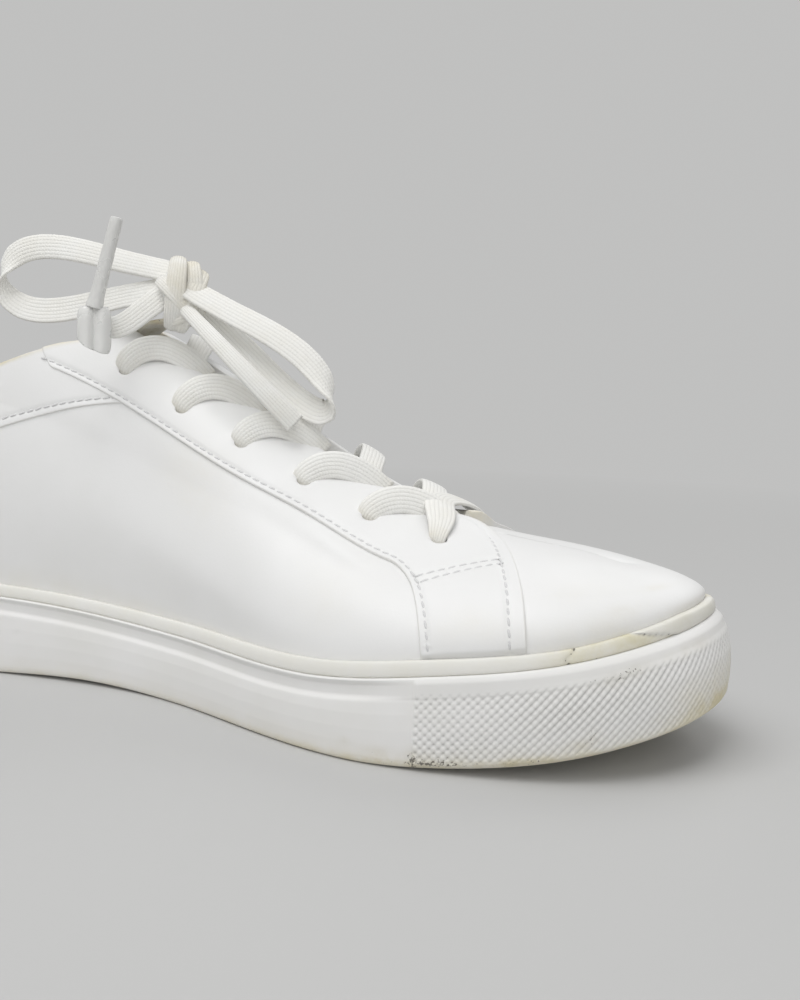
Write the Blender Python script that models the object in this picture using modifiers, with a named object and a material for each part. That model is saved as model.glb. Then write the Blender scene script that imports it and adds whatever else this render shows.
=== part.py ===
"""Low court sneaker, left shoe: cup sole, foxing strip, upper, tongue, insole and laces.

The shoe stands on its sole with the toe along +X and the outer (lateral) side
along +Y. Its origin is under the middle of the sole, on the floor. Lengths in
the tables are millimetres, and "along" is measured from the back of the heel.
"""
import math

import bmesh
import bpy
import numpy as np
from mathutils import Matrix, Vector

MM = 0.001
GAP = 0.3                  # clearance between pieces that touch on the real shoe

LENGTH = 284.0             # heel to toe, over the sole
SOLE_SPRING = 13.0         # how far the sole's tip is off the floor
SPRING_START = 204.6
SOLE_ARCH = 0.9            # lift of the waist
HEEL_LIFT = 1.6            # rounding under the back of the heel

CUP_WALL = 2.8             # thickness of the cup's rim
CHANNEL_DEPTH = 0.9        # shallow channel under the rim of the cup
CHANNEL_END = (206.0, 221.0)
STRIP_HEIGHT = 2.6         # foxing strip above the cup
STRIP_INSETS = (0.7, 1.1)
INSOLE_THICKNESS = 4.0
WALL = 1.8                 # upper leather with its lining
TONGUE_WALL = 2.6

SIDE_STEPS = 34            # stations on each side of the ring
UPPER_ROWS = 11            # rows from the strip to the top edge

EYELETS = 6
EYELET_FIRST = 215.8       # the pair nearest the toe
EYELET_PITCH = 18.8
EYELET_SIDE = 17.6         # from the middle of the throat
EYELET_RADIUS = 2.1

LACE_WIDTH = 7.2
LACE_THICKNESS = 1.5
LEG_END = (12.0, 3.0)      # a leg ends this far ahead of its hole and past the middle
LEG_OVER = 0.5             # the outer leg of a crossing lies over the inner one
RISER_START = (115.0, 3.0)
CORD_RADIUS = 1.6          # loops and ends of the bow, as plain round cord
AGLET_RADIUS = 1.9
KNOT_MIDDLE = (133.5, -8.0, 108.0)
KNOT_RADII = (6.6, 6.2, 9.6)


def table(names, *rows):
    """Rows of numbers as one array for each named column."""
    return {name: np.array(values, float) for name, values in zip(names, zip(*rows))}


OUTLINE = table(
    ("along", "medial", "lateral"),
    (0, 0.0, 0.0),
    (8, 21.0, 21.0),
    (22, 31.0, 31.0),
    (46, 36.8, 37.5),
    (80, 34.5, 40.0),
    (115, 30.7, 43.6),
    (145, 32.6, 47.2),
    (175, 41.8, 49.4),
    (205, 48.5, 47.6),
    (230, 45.9, 42.0),
    (252, 40.2, 33.4),
    (268, 31.0, 23.8),
    (279, 18.9, 12.6),
    (284, 0.0, 0.0),
)
TOE_LEAN = 2.0             # the tip of the toe lies to the inner side

SOLE_WALL = table(
    ("along", "wall", "footbed"),
    (0, 26.5, 14.5),
    (40, 25.0, 14.0),
    (90, 22.1, 12.0),
    (120, 19.4, 10.2),
    (155, 18.2, 9.0),
    (195, 18.2, 8.6),
    (217, 20.4, 8.6),
    (247, 21.3, 8.6),
    (266, 21.1, 8.6),
    (284, 20.8, 8.6),
)
TOE_RAKE = (3.6, 232.0)    # lean of the toe's wall, and the station where it starts

RIDGE = table(
    ("along", "height", "side", "bulge"),
    (0, 132.0, 0.0, 2.6),
    (50, 124.0, 0.5, 1.8),
    (83, 112.5, 1.0, 1.6),
    (100, 105.5, 1.0, 1.6),
    (121, 95.5, 0.5, 1.6),
    (141, 85.0, 0.0, 1.4),
    (160, 75.5, -0.5, 1.2),
    (178, 66.5, -1.0, 1.0),
    (196, 57.6, -1.5, 0.8),
    (212, 51.4, -2.0, 0.8),
    (226, 48.0, -2.3, 0.8),
    (240, 46.2, -2.6, 0.7),
    (252, 44.4, -2.8, 0.5),
    (260, 42.4, -3.0, 0.4),
)
# How square a rib is: square over the heel, round at the vamp's break, squarer in the toe box.
FULLNESS = table(
    ("along", "power"),
    (0, 3.0),
    (60, 2.5),
    (120, 2.75),
    (200, 1.6),
    (240, 2.1),
    (260, 2.1),
)
RIDGE_BACK = (95.0, 46.0)  # ribs behind this station fan in to the second one
RIDGE_FRONT = (212.0, 27.0)  # ribs before this station fan back by the second one

COLLAR = table(
    ("along", "height"),
    (0, 80.0),
    (12, 78.6),
    (28, 75.0),
    (45, 72.6),
    (58, 74.4),
    (70, 80.0),
    (83, 86.6),
    (94, 91.0),
    (103, 93.6),
    (112, 95.6),
    (117, 100.0),
    (124, 115.0),
)
COLLAR_END = 123.0         # ribs that meet the ridge behind this station end at the collar
THROAT_TOP = 90.0          # and those before this one end at the throat
THROAT_END = 219.5
THROAT_HALF = (5.0, 6.5)   # half gap between the facings, at the toe end and at the top
THROAT_ROUND = 7.0         # length of the rounded toe end of the gap

TONGUE = table(
    ("along", "half_width", "drop"),
    (97, 15.0, 15.0),
    (103, 19.0, 10.5),
    (111, 22.0, 6.0),
    (120, 24.0, 3.0),
    (135, 25.0, 1.0),
    (160, 25.0, 0.6),
    (190, 23.0, 0.6),
    (214, 19.0, 0.8),
    (226, 14.0, 1.4),
)

# Height of a lace's middle over the skin, by its distance from the throat's middle.
LACE_LIFT = table(
    ("beside", "lift"),
    (0.0, 1.5),
    (2.5, 1.8),
    (6.0, 2.9),
    (9.5, 3.0),
    (13.5, 2.2),
    (17.0, 1.2),
)

# Each loop of the bow is a teardrop: it leaves the knot, turns at its tip and comes back.
REAR_LOOP = {"leave": (128, -9, 115), "back": (127, -11, 109), "tip": (82, -21, 112), "opening": 15}
FRONT_LOOP = {"leave": (141, -11, 108), "back": (141, -6, 103), "tip": (180, -8, 80), "opening": 11}
LOOP_ROUNDNESS = 0.8       # below 1 the loop is fuller toward its tip
LOOP_STEPS = 17

# The rear end hangs down, folds and stands up in its aglet; the front end is one sagging arc.
REAR_END = ((129, -14, 106), (127, -19, 102), (124, -25, 98), (122, -29, 98), (122, -31, 102))
REAR_AGLET = ((122, -31, 103), (127, -28, 126))
FRONT_END = {"leave": (138, -13, 104), "tip": (173, -14, 74), "bow": (1, -6, 2)}
ARC_STEPS = 7

TREAD_DEPTH = 1.6
TREAD_WIDTH = 2.2
TREAD_GROOVES = (20, 32, 44, 56, 68, 150, 163, 176, 189, 202, 215, 228)


def smooth(xs, ys):
    """Natural cubic spline through the points."""
    count = len(xs)
    step = np.diff(xs)
    system = np.eye(count)
    right = np.zeros(count)
    for i in range(1, count - 1):
        system[i, i - 1:i + 2] = step[i - 1], 2 * (step[i - 1] + step[i]), step[i]
        right[i] = 6 * ((ys[i + 1] - ys[i]) / step[i] - (ys[i] - ys[i - 1]) / step[i - 1])
    bend = np.linalg.solve(system, right)

    def value(x):
        i = np.clip(np.searchsorted(xs, x) - 1, 0, count - 2)
        a = (xs[i + 1] - x) / step[i]
        b = 1 - a
        curve = ((a ** 3 - a) * bend[i] + (b ** 3 - b) * bend[i + 1]) * step[i] ** 2 / 6
        return a * ys[i] + b * ys[i + 1] + curve

    return value


def swing(along):
    """Angle that packs stations closely at the heel and the toe."""
    return np.arccos(np.clip(1 - 2 * np.asarray(along, float) / LENGTH, -1, 1))


medial_half = smooth(swing(OUTLINE["along"]), OUTLINE["medial"])
lateral_half = smooth(swing(OUTLINE["along"]), OUTLINE["lateral"])
wall_height = smooth(SOLE_WALL["along"], SOLE_WALL["wall"])
footbed_height = smooth(SOLE_WALL["along"], SOLE_WALL["footbed"])
ridge_height = smooth(RIDGE["along"], RIDGE["height"])
ridge_side = smooth(RIDGE["along"], RIDGE["side"])
fullness = smooth(FULLNESS["along"], FULLNESS["power"])
side_bulge = smooth(RIDGE["along"], RIDGE["bulge"])
collar_height = smooth(COLLAR["along"], COLLAR["height"])
tongue_half = smooth(TONGUE["along"], TONGUE["half_width"])
tongue_drop = smooth(TONGUE["along"], TONGUE["drop"])

turns = np.linspace(0, math.pi, 400)
SIDE_SHIFT = (medial_half(turns).max() - lateral_half(turns).max()) / 2


def bottom(along):
    """Height of the sole's underside."""
    spring = SOLE_SPRING * np.clip((along - SPRING_START) / (LENGTH - SPRING_START), 0, 1) ** 2
    arch = SOLE_ARCH * np.sin(math.pi * np.clip((along - 78) / 72, 0, 1)) ** 2
    heel = HEEL_LIFT * np.clip(1 - along / 14, 0, 1) ** 2
    return spring + arch + heel


def rim(along):
    """Height of the cup's upper edge."""
    return bottom(along) + wall_height(along)


def outline_point(turn):
    """Plan of the sole's edge; turns 0 to pi run up the inner side, then back."""
    turn = np.asarray(turn, float) % (2 * math.pi)
    inner = turn <= math.pi
    half_turn = np.where(inner, turn, 2 * math.pi - turn)
    along = LENGTH * (1 - np.cos(half_turn)) / 2
    side = np.where(inner, -medial_half(half_turn), lateral_half(half_turn))
    lean = TOE_LEAN * np.clip((along - 180) / (LENGTH - 180), 0, 1) ** 2
    return along, side - lean + SIDE_SHIFT


def inset_outline(turn, inset):
    """Plan point moved inward from the sole's edge."""
    along, side = outline_point(turn)
    ahead, ahead_side = outline_point(turn + 0.002)
    back, back_side = outline_point(turn - 0.002)
    dx, dy = ahead - back, ahead_side - back_side
    size = np.hypot(dx, dy)
    return along - dy / size * inset, side + dx / size * inset


def ring_turns():
    """Turn of each station, once round the shoe."""
    return np.arange(2 * SIDE_STEPS) * math.pi / SIDE_STEPS


def place(along, side, height):
    """A point in metres in the shoe's frame."""
    return Vector(((along - LENGTH / 2) * MM, side * MM, height * MM))


def rake(station):
    """How far the rim lies inside the sole's edge at the toe."""
    reach, start = TOE_RAKE
    share = np.clip((station - start) / (LENGTH - start), 0, 1)
    return reach * share * share * (3 - 2 * share)


def rib_base(turn):
    """Where a rib of the upper leaves the foxing strip."""
    station = outline_point(turn)[0]
    along, side = inset_outline(turn, CUP_WALL + GAP + rake(station))
    return along, side, rim(station) + STRIP_HEIGHT


def rib_top(turn):
    """Where a rib meets the ridge line over the foot."""
    station = outline_point(turn)[0]
    start, reach = RIDGE_BACK
    back = reach * np.clip((start - station) / start, 0, 1) ** 2
    start, reach = RIDGE_FRONT
    front = reach * np.clip((station - start) / (LENGTH - start), 0, 1) ** 2
    along = station + back - front
    return along, ridge_side(along) + SIDE_SHIFT, ridge_height(along)


def rib_point(turn, rise):
    """Point of the last: rise 0 is at the strip and 1 on the ridge line."""
    x0, y0, z0 = rib_base(turn)
    x1, y1, z1 = rib_top(turn)
    power = 2 / fullness(x1)
    across = 1 - math.cos(rise * math.pi / 2) ** power
    height = math.sin(rise * math.pi / 2) ** power
    span = math.hypot(x1 - x0, y1 - y0)
    out = side_bulge(x1) * math.sin(math.pi * min(1, height / 0.6))
    shift = across - out / span
    return x0 + (x1 - x0) * shift, y0 + (y1 - y0) * shift, z0 + (z1 - z0) * height


def find_rise(test):
    """Smallest rise at which the test holds, by halving."""
    low, high = 0.0, 1.0
    for _ in range(24):
        middle = (low + high) / 2
        if test(middle):
            high = middle
        else:
            low = middle
    return high


def half_gap(along):
    """Half width of the throat between the facings."""
    low, high = THROAT_HALF
    share = min(1, max(0, (THROAT_END - along) / (THROAT_END - 119)))
    tip = min(1, max(0, (THROAT_END - along) / THROAT_ROUND))
    return (low + (high - low) * share) * math.sqrt(max(0, 1 - (1 - tip) ** 2))


def top_rise(turn):
    """Rise of the upper's free edge: its collar, then its throat."""
    top = rib_top(turn)[0]
    if top >= THROAT_END:
        return 1.0
    rise = 1.0
    if top > THROAT_TOP:
        middle = ridge_side(top) + SIDE_SHIFT
        gap = half_gap(top)
        rise = find_rise(lambda t: abs(rib_point(turn, t)[1] - middle) <= gap)
    if top < COLLAR_END:
        station = max(0.0, outline_point(turn)[0])
        limit = collar_height(station)
        rise = min(rise, find_rise(lambda t: rib_point(turn, t)[2] >= limit))
    return rise


def mesh_object(name, verts, faces):
    """Object of the parts collection from points and faces."""
    mesh = bpy.data.meshes.new(name)
    mesh.from_pydata(verts, [], faces)
    mesh.validate()
    piece = bpy.data.objects.new(name, mesh)
    parts.objects.link(piece)
    return piece


def weld_and_orient(piece, distance=0.00005):
    """Merge doubled points and turn every face outward."""
    work = bmesh.new()
    work.from_mesh(piece.data)
    bmesh.ops.remove_doubles(work, verts=work.verts, dist=distance)
    bmesh.ops.dissolve_degenerate(work, edges=work.edges, dist=0.00001)
    bmesh.ops.recalc_face_normals(work, faces=work.faces)
    work.to_mesh(piece.data)
    work.free()


def finish(piece, colour, roughness, angle=35):
    """Give a piece its plain finish and smooth shading."""
    material = bpy.data.materials.new(piece.name)
    material.use_nodes = True
    shader = material.node_tree.nodes["Principled BSDF"]
    shader.inputs["Base Color"].default_value = (*colour, 1)
    shader.inputs["Roughness"].default_value = roughness
    shader.inputs["Metallic"].default_value = 0.0
    piece.data.materials.clear()
    piece.data.materials.append(material)
    if piece.type == "MESH":
        piece.data.shade_smooth()
        piece.data.set_sharp_from_angle(angle=math.radians(angle))


def apply_modifiers(piece):
    """Bake the modifiers into the mesh."""
    bpy.context.view_layer.update()
    graph = bpy.context.evaluated_depsgraph_get()
    mesh = bpy.data.meshes.new_from_object(piece.evaluated_get(graph))
    piece.modifiers.clear()
    piece.data = mesh


def boolean(piece, other, operation):
    """Cut or join with another mesh object, which becomes a hidden cutter."""
    for owner in list(other.users_collection):
        owner.objects.unlink(other)
    cutters.objects.link(other)
    other.hide_render = True
    other.display_type = "WIRE"
    modifier = piece.modifiers.new(other.name, "BOOLEAN")
    modifier.operation = operation
    modifier.solver = "EXACT"
    modifier.object = other


def ring_faces(loops, count, closed=False):
    """Quads between successive loops round the shoe."""
    faces = []
    pairs = loops if closed else loops - 1
    for row in range(pairs):
        upper = (row + 1) % loops
        for i in range(count):
            j = (i + 1) % count
            faces.append((row * count + i, row * count + j, upper * count + j, upper * count + i))
    return faces


def cap_faces(start, count):
    """Strips across a loop, from its inner to its outer side."""
    half = count // 2
    faces = [(start, start + 1, start + count - 1)]
    for i in range(1, half - 1):
        faces.append((start + i, start + i + 1, start + count - i - 1, start + count - i))
    faces.append((start + half - 1, start + half, start + half + 1))
    return faces


def ring_loop(inset, height):
    """Loop round the shoe; inset and height are functions of the station."""
    points = []
    for turn in ring_turns():
        station = outline_point(turn)[0]
        along, side = inset_outline(turn, inset(station))
        points.append(place(along, side, height(station)))
    return points


def channel(station):
    """Depth of the channel, which fades out at the toe bumper."""
    start, end = CHANNEL_END
    return CHANNEL_DEPTH * min(1, max(0, (end - station) / (end - start)))


def cup_floor(station):
    """Height of the cup's inner floor."""
    return bottom(station) + footbed_height(station)


def make_cup_sole():
    """Cup with its wall, rim, inner floor and tread grooves."""
    profile = (
        (lambda s: 7.0, bottom),
        (lambda s: 1.4 + 0.3 * rake(s), bottom),
        (lambda s: 0.4 + 0.2 * rake(s), lambda s: bottom(s) + 0.5),
        (lambda s: 0.1 * rake(s), lambda s: bottom(s) + 1.8),
        (lambda s: -0.3, lambda s: bottom(s) + 0.42 * wall_height(s)),
        (lambda s: 0.3 * rake(s), lambda s: rim(s) - 4.8),
        (lambda s: channel(s) + 0.42 * rake(s), lambda s: rim(s) - 3.8),
        (lambda s: channel(s) + 0.7 * rake(s), lambda s: rim(s) - 1.6),
        (lambda s: 0.15 + 0.85 * rake(s), lambda s: rim(s) - 0.8),
        (lambda s: 0.7 + rake(s), rim),
        (lambda s: CUP_WALL + rake(s), rim),
        (lambda s: CUP_WALL + rake(s), cup_floor),
    )
    count = 2 * SIDE_STEPS
    verts = [point for inset, height in profile for point in ring_loop(inset, height)]
    faces = ring_faces(len(profile), count)
    faces += cap_faces(0, count)
    faces += cap_faces((len(profile) - 1) * count, count)
    cup = mesh_object("cup_sole", verts, faces)
    weld_and_orient(cup)
    for number, along in enumerate(TREAD_GROOVES):
        depth = (TREAD_DEPTH + bottom(along)) * MM
        bpy.ops.mesh.primitive_cube_add(size=1)
        groove = bpy.context.object
        groove.name = "groove_%02d" % number
        groove.scale = (TREAD_WIDTH * MM, 2 * tread_reach(along) * MM, 2 * depth)
        middle = (lateral_half(swing(along)) - medial_half(swing(along))) / 2 + SIDE_SHIFT
        groove.location = place(along, middle, 0)
        boolean(cup, groove, "DIFFERENCE")
    apply_modifiers(cup)
    finish(cup, (0.83, 0.82, 0.79), 0.55)
    return cup


def tread_reach(along):
    """Half length of a tread groove, short of the sole's edges."""
    turn = swing(along)
    return (medial_half(turn) + lateral_half(turn)) / 2 - 9


def make_foxing_strip():
    """Tape round the joint of cup and upper."""
    low, high = STRIP_INSETS
    profile = (
        (lambda s: low + rake(s), lambda s: rim(s) + GAP),
        (lambda s: high + rake(s), lambda s: rim(s) + 0.7 * STRIP_HEIGHT),
        (lambda s: high + 0.7 + rake(s), lambda s: rim(s) + STRIP_HEIGHT),
        (lambda s: CUP_WALL + rake(s), lambda s: rim(s) + STRIP_HEIGHT),
        (lambda s: CUP_WALL + rake(s), lambda s: rim(s) + GAP),
    )
    count = 2 * SIDE_STEPS
    verts = [point for inset, height in profile for point in ring_loop(inset, height)]
    strip = mesh_object("foxing_strip", verts, ring_faces(len(profile), count, closed=True))
    weld_and_orient(strip)
    finish(strip, (0.83, 0.79, 0.70), 0.6)
    return strip


def make_insole():
    """Footbed that lies inside the upper on the cup's floor."""
    edge = CUP_WALL + GAP + WALL + 2 * GAP
    profile = (
        (lambda s: edge + 1.0 + rake(s), lambda s: cup_floor(s) + GAP),
        (lambda s: edge + rake(s), lambda s: cup_floor(s) + GAP + 0.8),
        (lambda s: edge + rake(s), lambda s: cup_floor(s) + GAP + INSOLE_THICKNESS - 0.8),
        (lambda s: edge + 1.0 + rake(s), lambda s: cup_floor(s) + GAP + INSOLE_THICKNESS),
    )
    count = 2 * SIDE_STEPS
    verts = [point for inset, height in profile for point in ring_loop(inset, height)]
    faces = ring_faces(len(profile), count)
    faces += cap_faces(0, count) + cap_faces((len(profile) - 1) * count, count)
    insole = mesh_object("insole", verts, faces)
    weld_and_orient(insole)
    finish(insole, (0.72, 0.70, 0.66), 0.8)
    return insole


def make_upper():
    """One shell: skirt inside the cup, quarters, vamp, collar and throat."""
    count = 2 * SIDE_STEPS
    verts = []
    for level in (0.0, 1.0):
        for turn in ring_turns():
            along, side, height = rib_base(turn)
            low = cup_floor(outline_point(turn)[0]) + GAP
            verts.append(place(along, side, low + (height - low) * level))
    for row in range(1, UPPER_ROWS + 1):
        for turn in ring_turns():
            share = (row / UPPER_ROWS) ** 0.8
            verts.append(place(*rib_point(turn, share * top_rise(turn))))
    upper = mesh_object("upper", verts, ring_faces(UPPER_ROWS + 2, count))
    weld_and_orient(upper, 0.0002)
    shell = upper.modifiers.new("wall", "SOLIDIFY")
    shell.thickness = WALL * MM
    shell.offset = -1
    shell.use_even_offset = True
    apply_modifiers(upper)
    for side in ("medial", "lateral"):
        for number in range(EYELETS):
            point, normal = eyelet(side, number)
            bpy.ops.mesh.primitive_cylinder_add(vertices=8, radius=EYELET_RADIUS * MM, depth=0.008)
            cutter = bpy.context.object
            cutter.name = "lace_hole_%s_%d" % (side, number)
            turn = normal.to_track_quat("Z", "Y").to_matrix().to_4x4()
            cutter.matrix_world = Matrix.Translation(point) @ turn
            boolean(upper, cutter, "DIFFERENCE")
    apply_modifiers(upper)
    finish(upper, (0.86, 0.86, 0.85), 0.42)
    return upper


def surface_at(along, off_ridge):
    """Turn and rise of the surface point at a station and a distance beside the ridge."""
    sign = -1 if off_ridge < 0 else 1
    low, high = 0.3, math.pi - 0.02
    for _ in range(30):
        middle = (low + high) / 2
        turn = middle if sign < 0 else 2 * math.pi - middle
        rise = rise_beside(turn, abs(off_ridge))
        if rib_point(turn, rise)[0] < along:
            low = middle
        else:
            high = middle
    return turn, rise


def rise_beside(turn, distance):
    """Rise at which a rib comes within the distance of the ridge's plane."""
    middle = rib_top(turn)[1]
    return find_rise(lambda t: abs(rib_point(turn, t)[1] - middle) <= distance)


def surface_frame(along, off_ridge):
    """Point on the outer skin and its outward normal."""
    turn, rise = surface_at(along, off_ridge)
    here = place(*rib_point(turn, rise))
    up = place(*rib_point(turn, min(1, rise + 0.01))) - place(*rib_point(turn, rise - 0.01))
    along_rib = place(*rib_point(turn + 0.01, rise)) - place(*rib_point(turn - 0.01, rise))
    normal = along_rib.cross(up).normalized()
    if normal.z < 0:
        normal.negate()
    return here, normal


def eyelet(side, number):
    """Middle of a lace hole and the direction it is punched in."""
    sign = -1 if side == "medial" else 1
    return surface_frame(EYELET_FIRST - EYELET_PITCH * number, sign * EYELET_SIDE)


def make_tongue():
    """Padded tongue under the throat, as a curved sheet with thickness."""
    stations = np.linspace(TONGUE["along"][0], TONGUE["along"][-1], 15)
    across = np.linspace(-1, 1, 9)
    verts = []
    for along in stations:
        half = tongue_half(along)
        for share in across:
            point, normal = surface_frame(along, share * half)
            verts.append(point - normal * (WALL + GAP + tongue_drop(along)) * MM)
    rows, columns = len(stations), len(across)
    faces = []
    for i in range(rows - 1):
        for j in range(columns - 1):
            a = i * columns + j
            faces.append((a, a + 1, a + columns + 1, a + columns))
    tongue = mesh_object("tongue", verts, faces)
    weld_and_orient(tongue)
    shell = tongue.modifiers.new("padding", "SOLIDIFY")
    shell.thickness = TONGUE_WALL * MM
    shell.offset = -1
    shell.use_even_offset = True
    apply_modifiers(tongue)
    finish(tongue, (0.84, 0.83, 0.81), 0.6)
    return tongue


def lace_strip(name, route, normals):
    """Flat lace with rounded edges swept along a route."""
    corners = [(math.cos(a), math.sin(a)) for a in np.arange(8) * math.pi / 4]
    verts = []
    for i, point in enumerate(route):
        ahead = route[min(i + 1, len(route) - 1)] - route[max(i - 1, 0)]
        wide = ahead.cross(normals[i]).normalized()
        thick = wide.cross(ahead).normalized()
        for x, y in corners:
            offset = wide * (x * LACE_WIDTH / 2) + thick * (y * LACE_THICKNESS / 2)
            verts.append(point + offset * MM)
    count = len(corners)
    faces = ring_faces(len(route), count)
    faces.append(tuple(range(count)))
    faces.append(tuple((len(route) - 1) * count + i for i in range(count)))
    strip = mesh_object(name, verts, faces)
    weld_and_orient(strip)
    return strip


def crossing_route(start, end, steps=9, over=0.0):
    """Points and normals of a lace leg between two (along, beside) places."""
    route, normals = [], []
    for share in np.linspace(0, 1, steps):
        along = start[0] + (end[0] - start[0]) * share
        beside = start[1] + (end[1] - start[1]) * share
        point, normal = surface_frame(along, beside)
        lift = np.interp(abs(beside), LACE_LIFT["beside"], LACE_LIFT["lift"])
        route.append(point + normal * (lift + over) * MM)
        normals.append(normal)
    return route, normals


def join_strips(name, legs):
    """One solid from lace strips that cross or meet."""
    first = lace_strip(name, *legs[0])
    for number, leg in enumerate(legs[1:]):
        boolean(first, lace_strip("%s_leg_%d" % (name, number), *leg), "UNION")
    apply_modifiers(first)
    weld_and_orient(first, 0.00002)
    finish(first, (0.85, 0.85, 0.83), 0.8)
    return first


def make_lace_crossings():
    """The bar at the toe end and a pair of crossed legs at each further pair of holes."""
    holes = [EYELET_FIRST - EYELET_PITCH * number for number in range(EYELETS)]
    join_strips("lace_bar", [crossing_route((holes[0], -EYELET_SIDE), (holes[0], EYELET_SIDE), 13)])
    ahead, reach = LEG_END
    for number in range(1, EYELETS):
        legs = []
        for sign in (-1, 1):
            start = (holes[number], sign * EYELET_SIDE)
            end = (holes[number] + ahead, -sign * reach)
            legs.append(crossing_route(start, end, over=max(0, sign) * LEG_OVER))
        join_strips("lace_cross_%d" % (number + 1), legs)


def make_risers():
    """The two lengths that leave the throat behind the top holes and meet under the knot."""
    along, beside = RISER_START
    knot = place(*KNOT_MIDDLE) - Vector((2.0, 0, KNOT_RADII[2] + 1.1)) * MM
    legs = []
    for sign in (-1, 1):
        low, normal = surface_frame(along, sign * beside)
        high, _ = surface_frame(along + 3, sign * beside)
        back = Vector((-1, 0, 0.5)).normalized()
        foot = knot + Vector((0.4 * sign, 0.5 * sign, 0)) * MM
        route = [low - normal * 0.6 * MM, high + normal * 2.6 * MM]
        route += [route[-1].lerp(foot, 0.5) + normal * 0.6 * MM, foot]
        legs.append((route, [back, (back + normal).normalized(), normal, normal]))
    return join_strips("lace_risers", legs)


def make_knot():
    """Knot of the bow."""
    bpy.ops.mesh.primitive_uv_sphere_add(segments=16, ring_count=10, radius=1)
    knot = bpy.context.object
    knot.name = "lace_knot"
    for owner in list(knot.users_collection):
        owner.objects.unlink(knot)
    parts.objects.link(knot)
    knot.location = place(*KNOT_MIDDLE)
    knot.scale = Vector(KNOT_RADII) * MM
    finish(knot, (0.85, 0.85, 0.82), 0.8)
    return knot


def loop_route(leave, back, tip, opening):
    """Teardrop from the knot to its tip and back."""
    leave, back, tip = (np.array(place_of, float) for place_of in (leave, back, tip))
    share = np.linspace(0, 1, LOOP_STEPS)[:, None]
    out = np.sin(math.pi * share) ** LOOP_ROUNDNESS
    spread = np.cos(math.pi * share) * np.sin(math.pi * share)
    knot_side = leave + (back - leave) * share
    return knot_side + (tip - (leave + back) / 2) * out + np.array((0, 0, opening)) * spread


def arc_route(leave, tip, bow):
    """Arc from the knot to its tip, bowed out between them."""
    share = np.linspace(0, 1, ARC_STEPS)[:, None]
    leave, tip, bow = (np.array(place_of, float) for place_of in (leave, tip, bow))
    return leave + (tip - leave) * share + bow * 4 * share * (1 - share)


def make_cord(name, route, radius, spacing, colour, roughness):
    """Round cord with filled caps along a smooth route."""
    rows = np.array(route, float)
    run = np.concatenate([[0], np.cumsum(np.linalg.norm(np.diff(rows, axis=0), axis=1))])
    axes = [smooth(run, rows[:, axis]) for axis in range(3)]
    steps = max(2, int(round(run[-1] / spacing)) + 1)
    data = bpy.data.curves.new(name, "CURVE")
    data.dimensions = "3D"
    data.bevel_depth = radius * MM
    data.bevel_resolution = 2
    data.use_fill_caps = True
    spline = data.splines.new("POLY")
    spline.points.add(steps - 1)
    for i, distance in enumerate(np.linspace(0, run[-1], steps)):
        spline.points[i].co = (*place(*(float(axis(distance)) for axis in axes)), 1)
    cord = bpy.data.objects.new(name, data)
    parts.objects.link(cord)
    finish(cord, colour, roughness)
    return cord


def make_bow():
    """Loops, ends and the one aglet; the front end is bare lace to its tip."""
    lace = (0.85, 0.85, 0.82)
    make_cord("lace_loop_rear", loop_route(**REAR_LOOP), CORD_RADIUS, 4.0, lace, 0.8)
    make_cord("lace_loop_front", loop_route(**FRONT_LOOP), CORD_RADIUS, 4.0, lace, 0.8)
    make_cord("lace_end_rear", REAR_END, CORD_RADIUS, 3.5, lace, 0.8)
    make_cord("lace_end_front", arc_route(**FRONT_END), CORD_RADIUS, 4.0, lace, 0.8)
    make_cord("aglet_rear", REAR_AGLET, AGLET_RADIUS, 30.0, (0.85, 0.86, 0.86), 0.3)


def main():
    """Build every piece in order."""
    make_cup_sole()
    make_foxing_strip()
    make_insole()
    make_upper()
    make_tongue()
    make_lace_crossings()
    make_risers()
    make_knot()
    make_bow()


for leftover in list(bpy.data.objects):
    bpy.data.objects.remove(leftover, do_unlink=True)
parts = bpy.data.collections.new("court_sneaker")
cutters = bpy.data.collections.new("cutters")
bpy.context.scene.collection.children.link(parts)
bpy.context.scene.collection.children.link(cutters)
main()
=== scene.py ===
import math
import random

import bmesh
import bpy
import numpy as np
from mathutils import Matrix, Vector
from mathutils.noise import noise_vector, seed_set


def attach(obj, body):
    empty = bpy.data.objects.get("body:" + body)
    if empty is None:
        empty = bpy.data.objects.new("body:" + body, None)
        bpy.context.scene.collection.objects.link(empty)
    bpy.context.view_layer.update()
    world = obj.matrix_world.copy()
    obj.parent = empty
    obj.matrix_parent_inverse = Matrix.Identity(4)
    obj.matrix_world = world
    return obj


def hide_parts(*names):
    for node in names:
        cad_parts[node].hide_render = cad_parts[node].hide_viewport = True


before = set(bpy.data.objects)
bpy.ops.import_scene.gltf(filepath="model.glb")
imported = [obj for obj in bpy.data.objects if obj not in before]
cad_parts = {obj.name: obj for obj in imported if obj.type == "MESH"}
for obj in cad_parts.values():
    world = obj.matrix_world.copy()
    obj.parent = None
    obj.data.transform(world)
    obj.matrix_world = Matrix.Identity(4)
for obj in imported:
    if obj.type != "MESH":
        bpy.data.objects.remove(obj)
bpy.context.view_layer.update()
mm = 0.001
random.seed(11)
seed_set(11)  # without it the noise is different in each run

# Lengths are millimetres. "along" runs from the back of the heel to the toe, "side" to the
# outer side, "height" up from the floor.

cameraView = {
    "place": (0.1478, -0.2372, 0.0839),
    "azimuth": 21.27,
    "elevation": 6.69,
    "roll": 1.67,
    "lens": 34.2,
    "sensor": 36.0,
}


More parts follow.
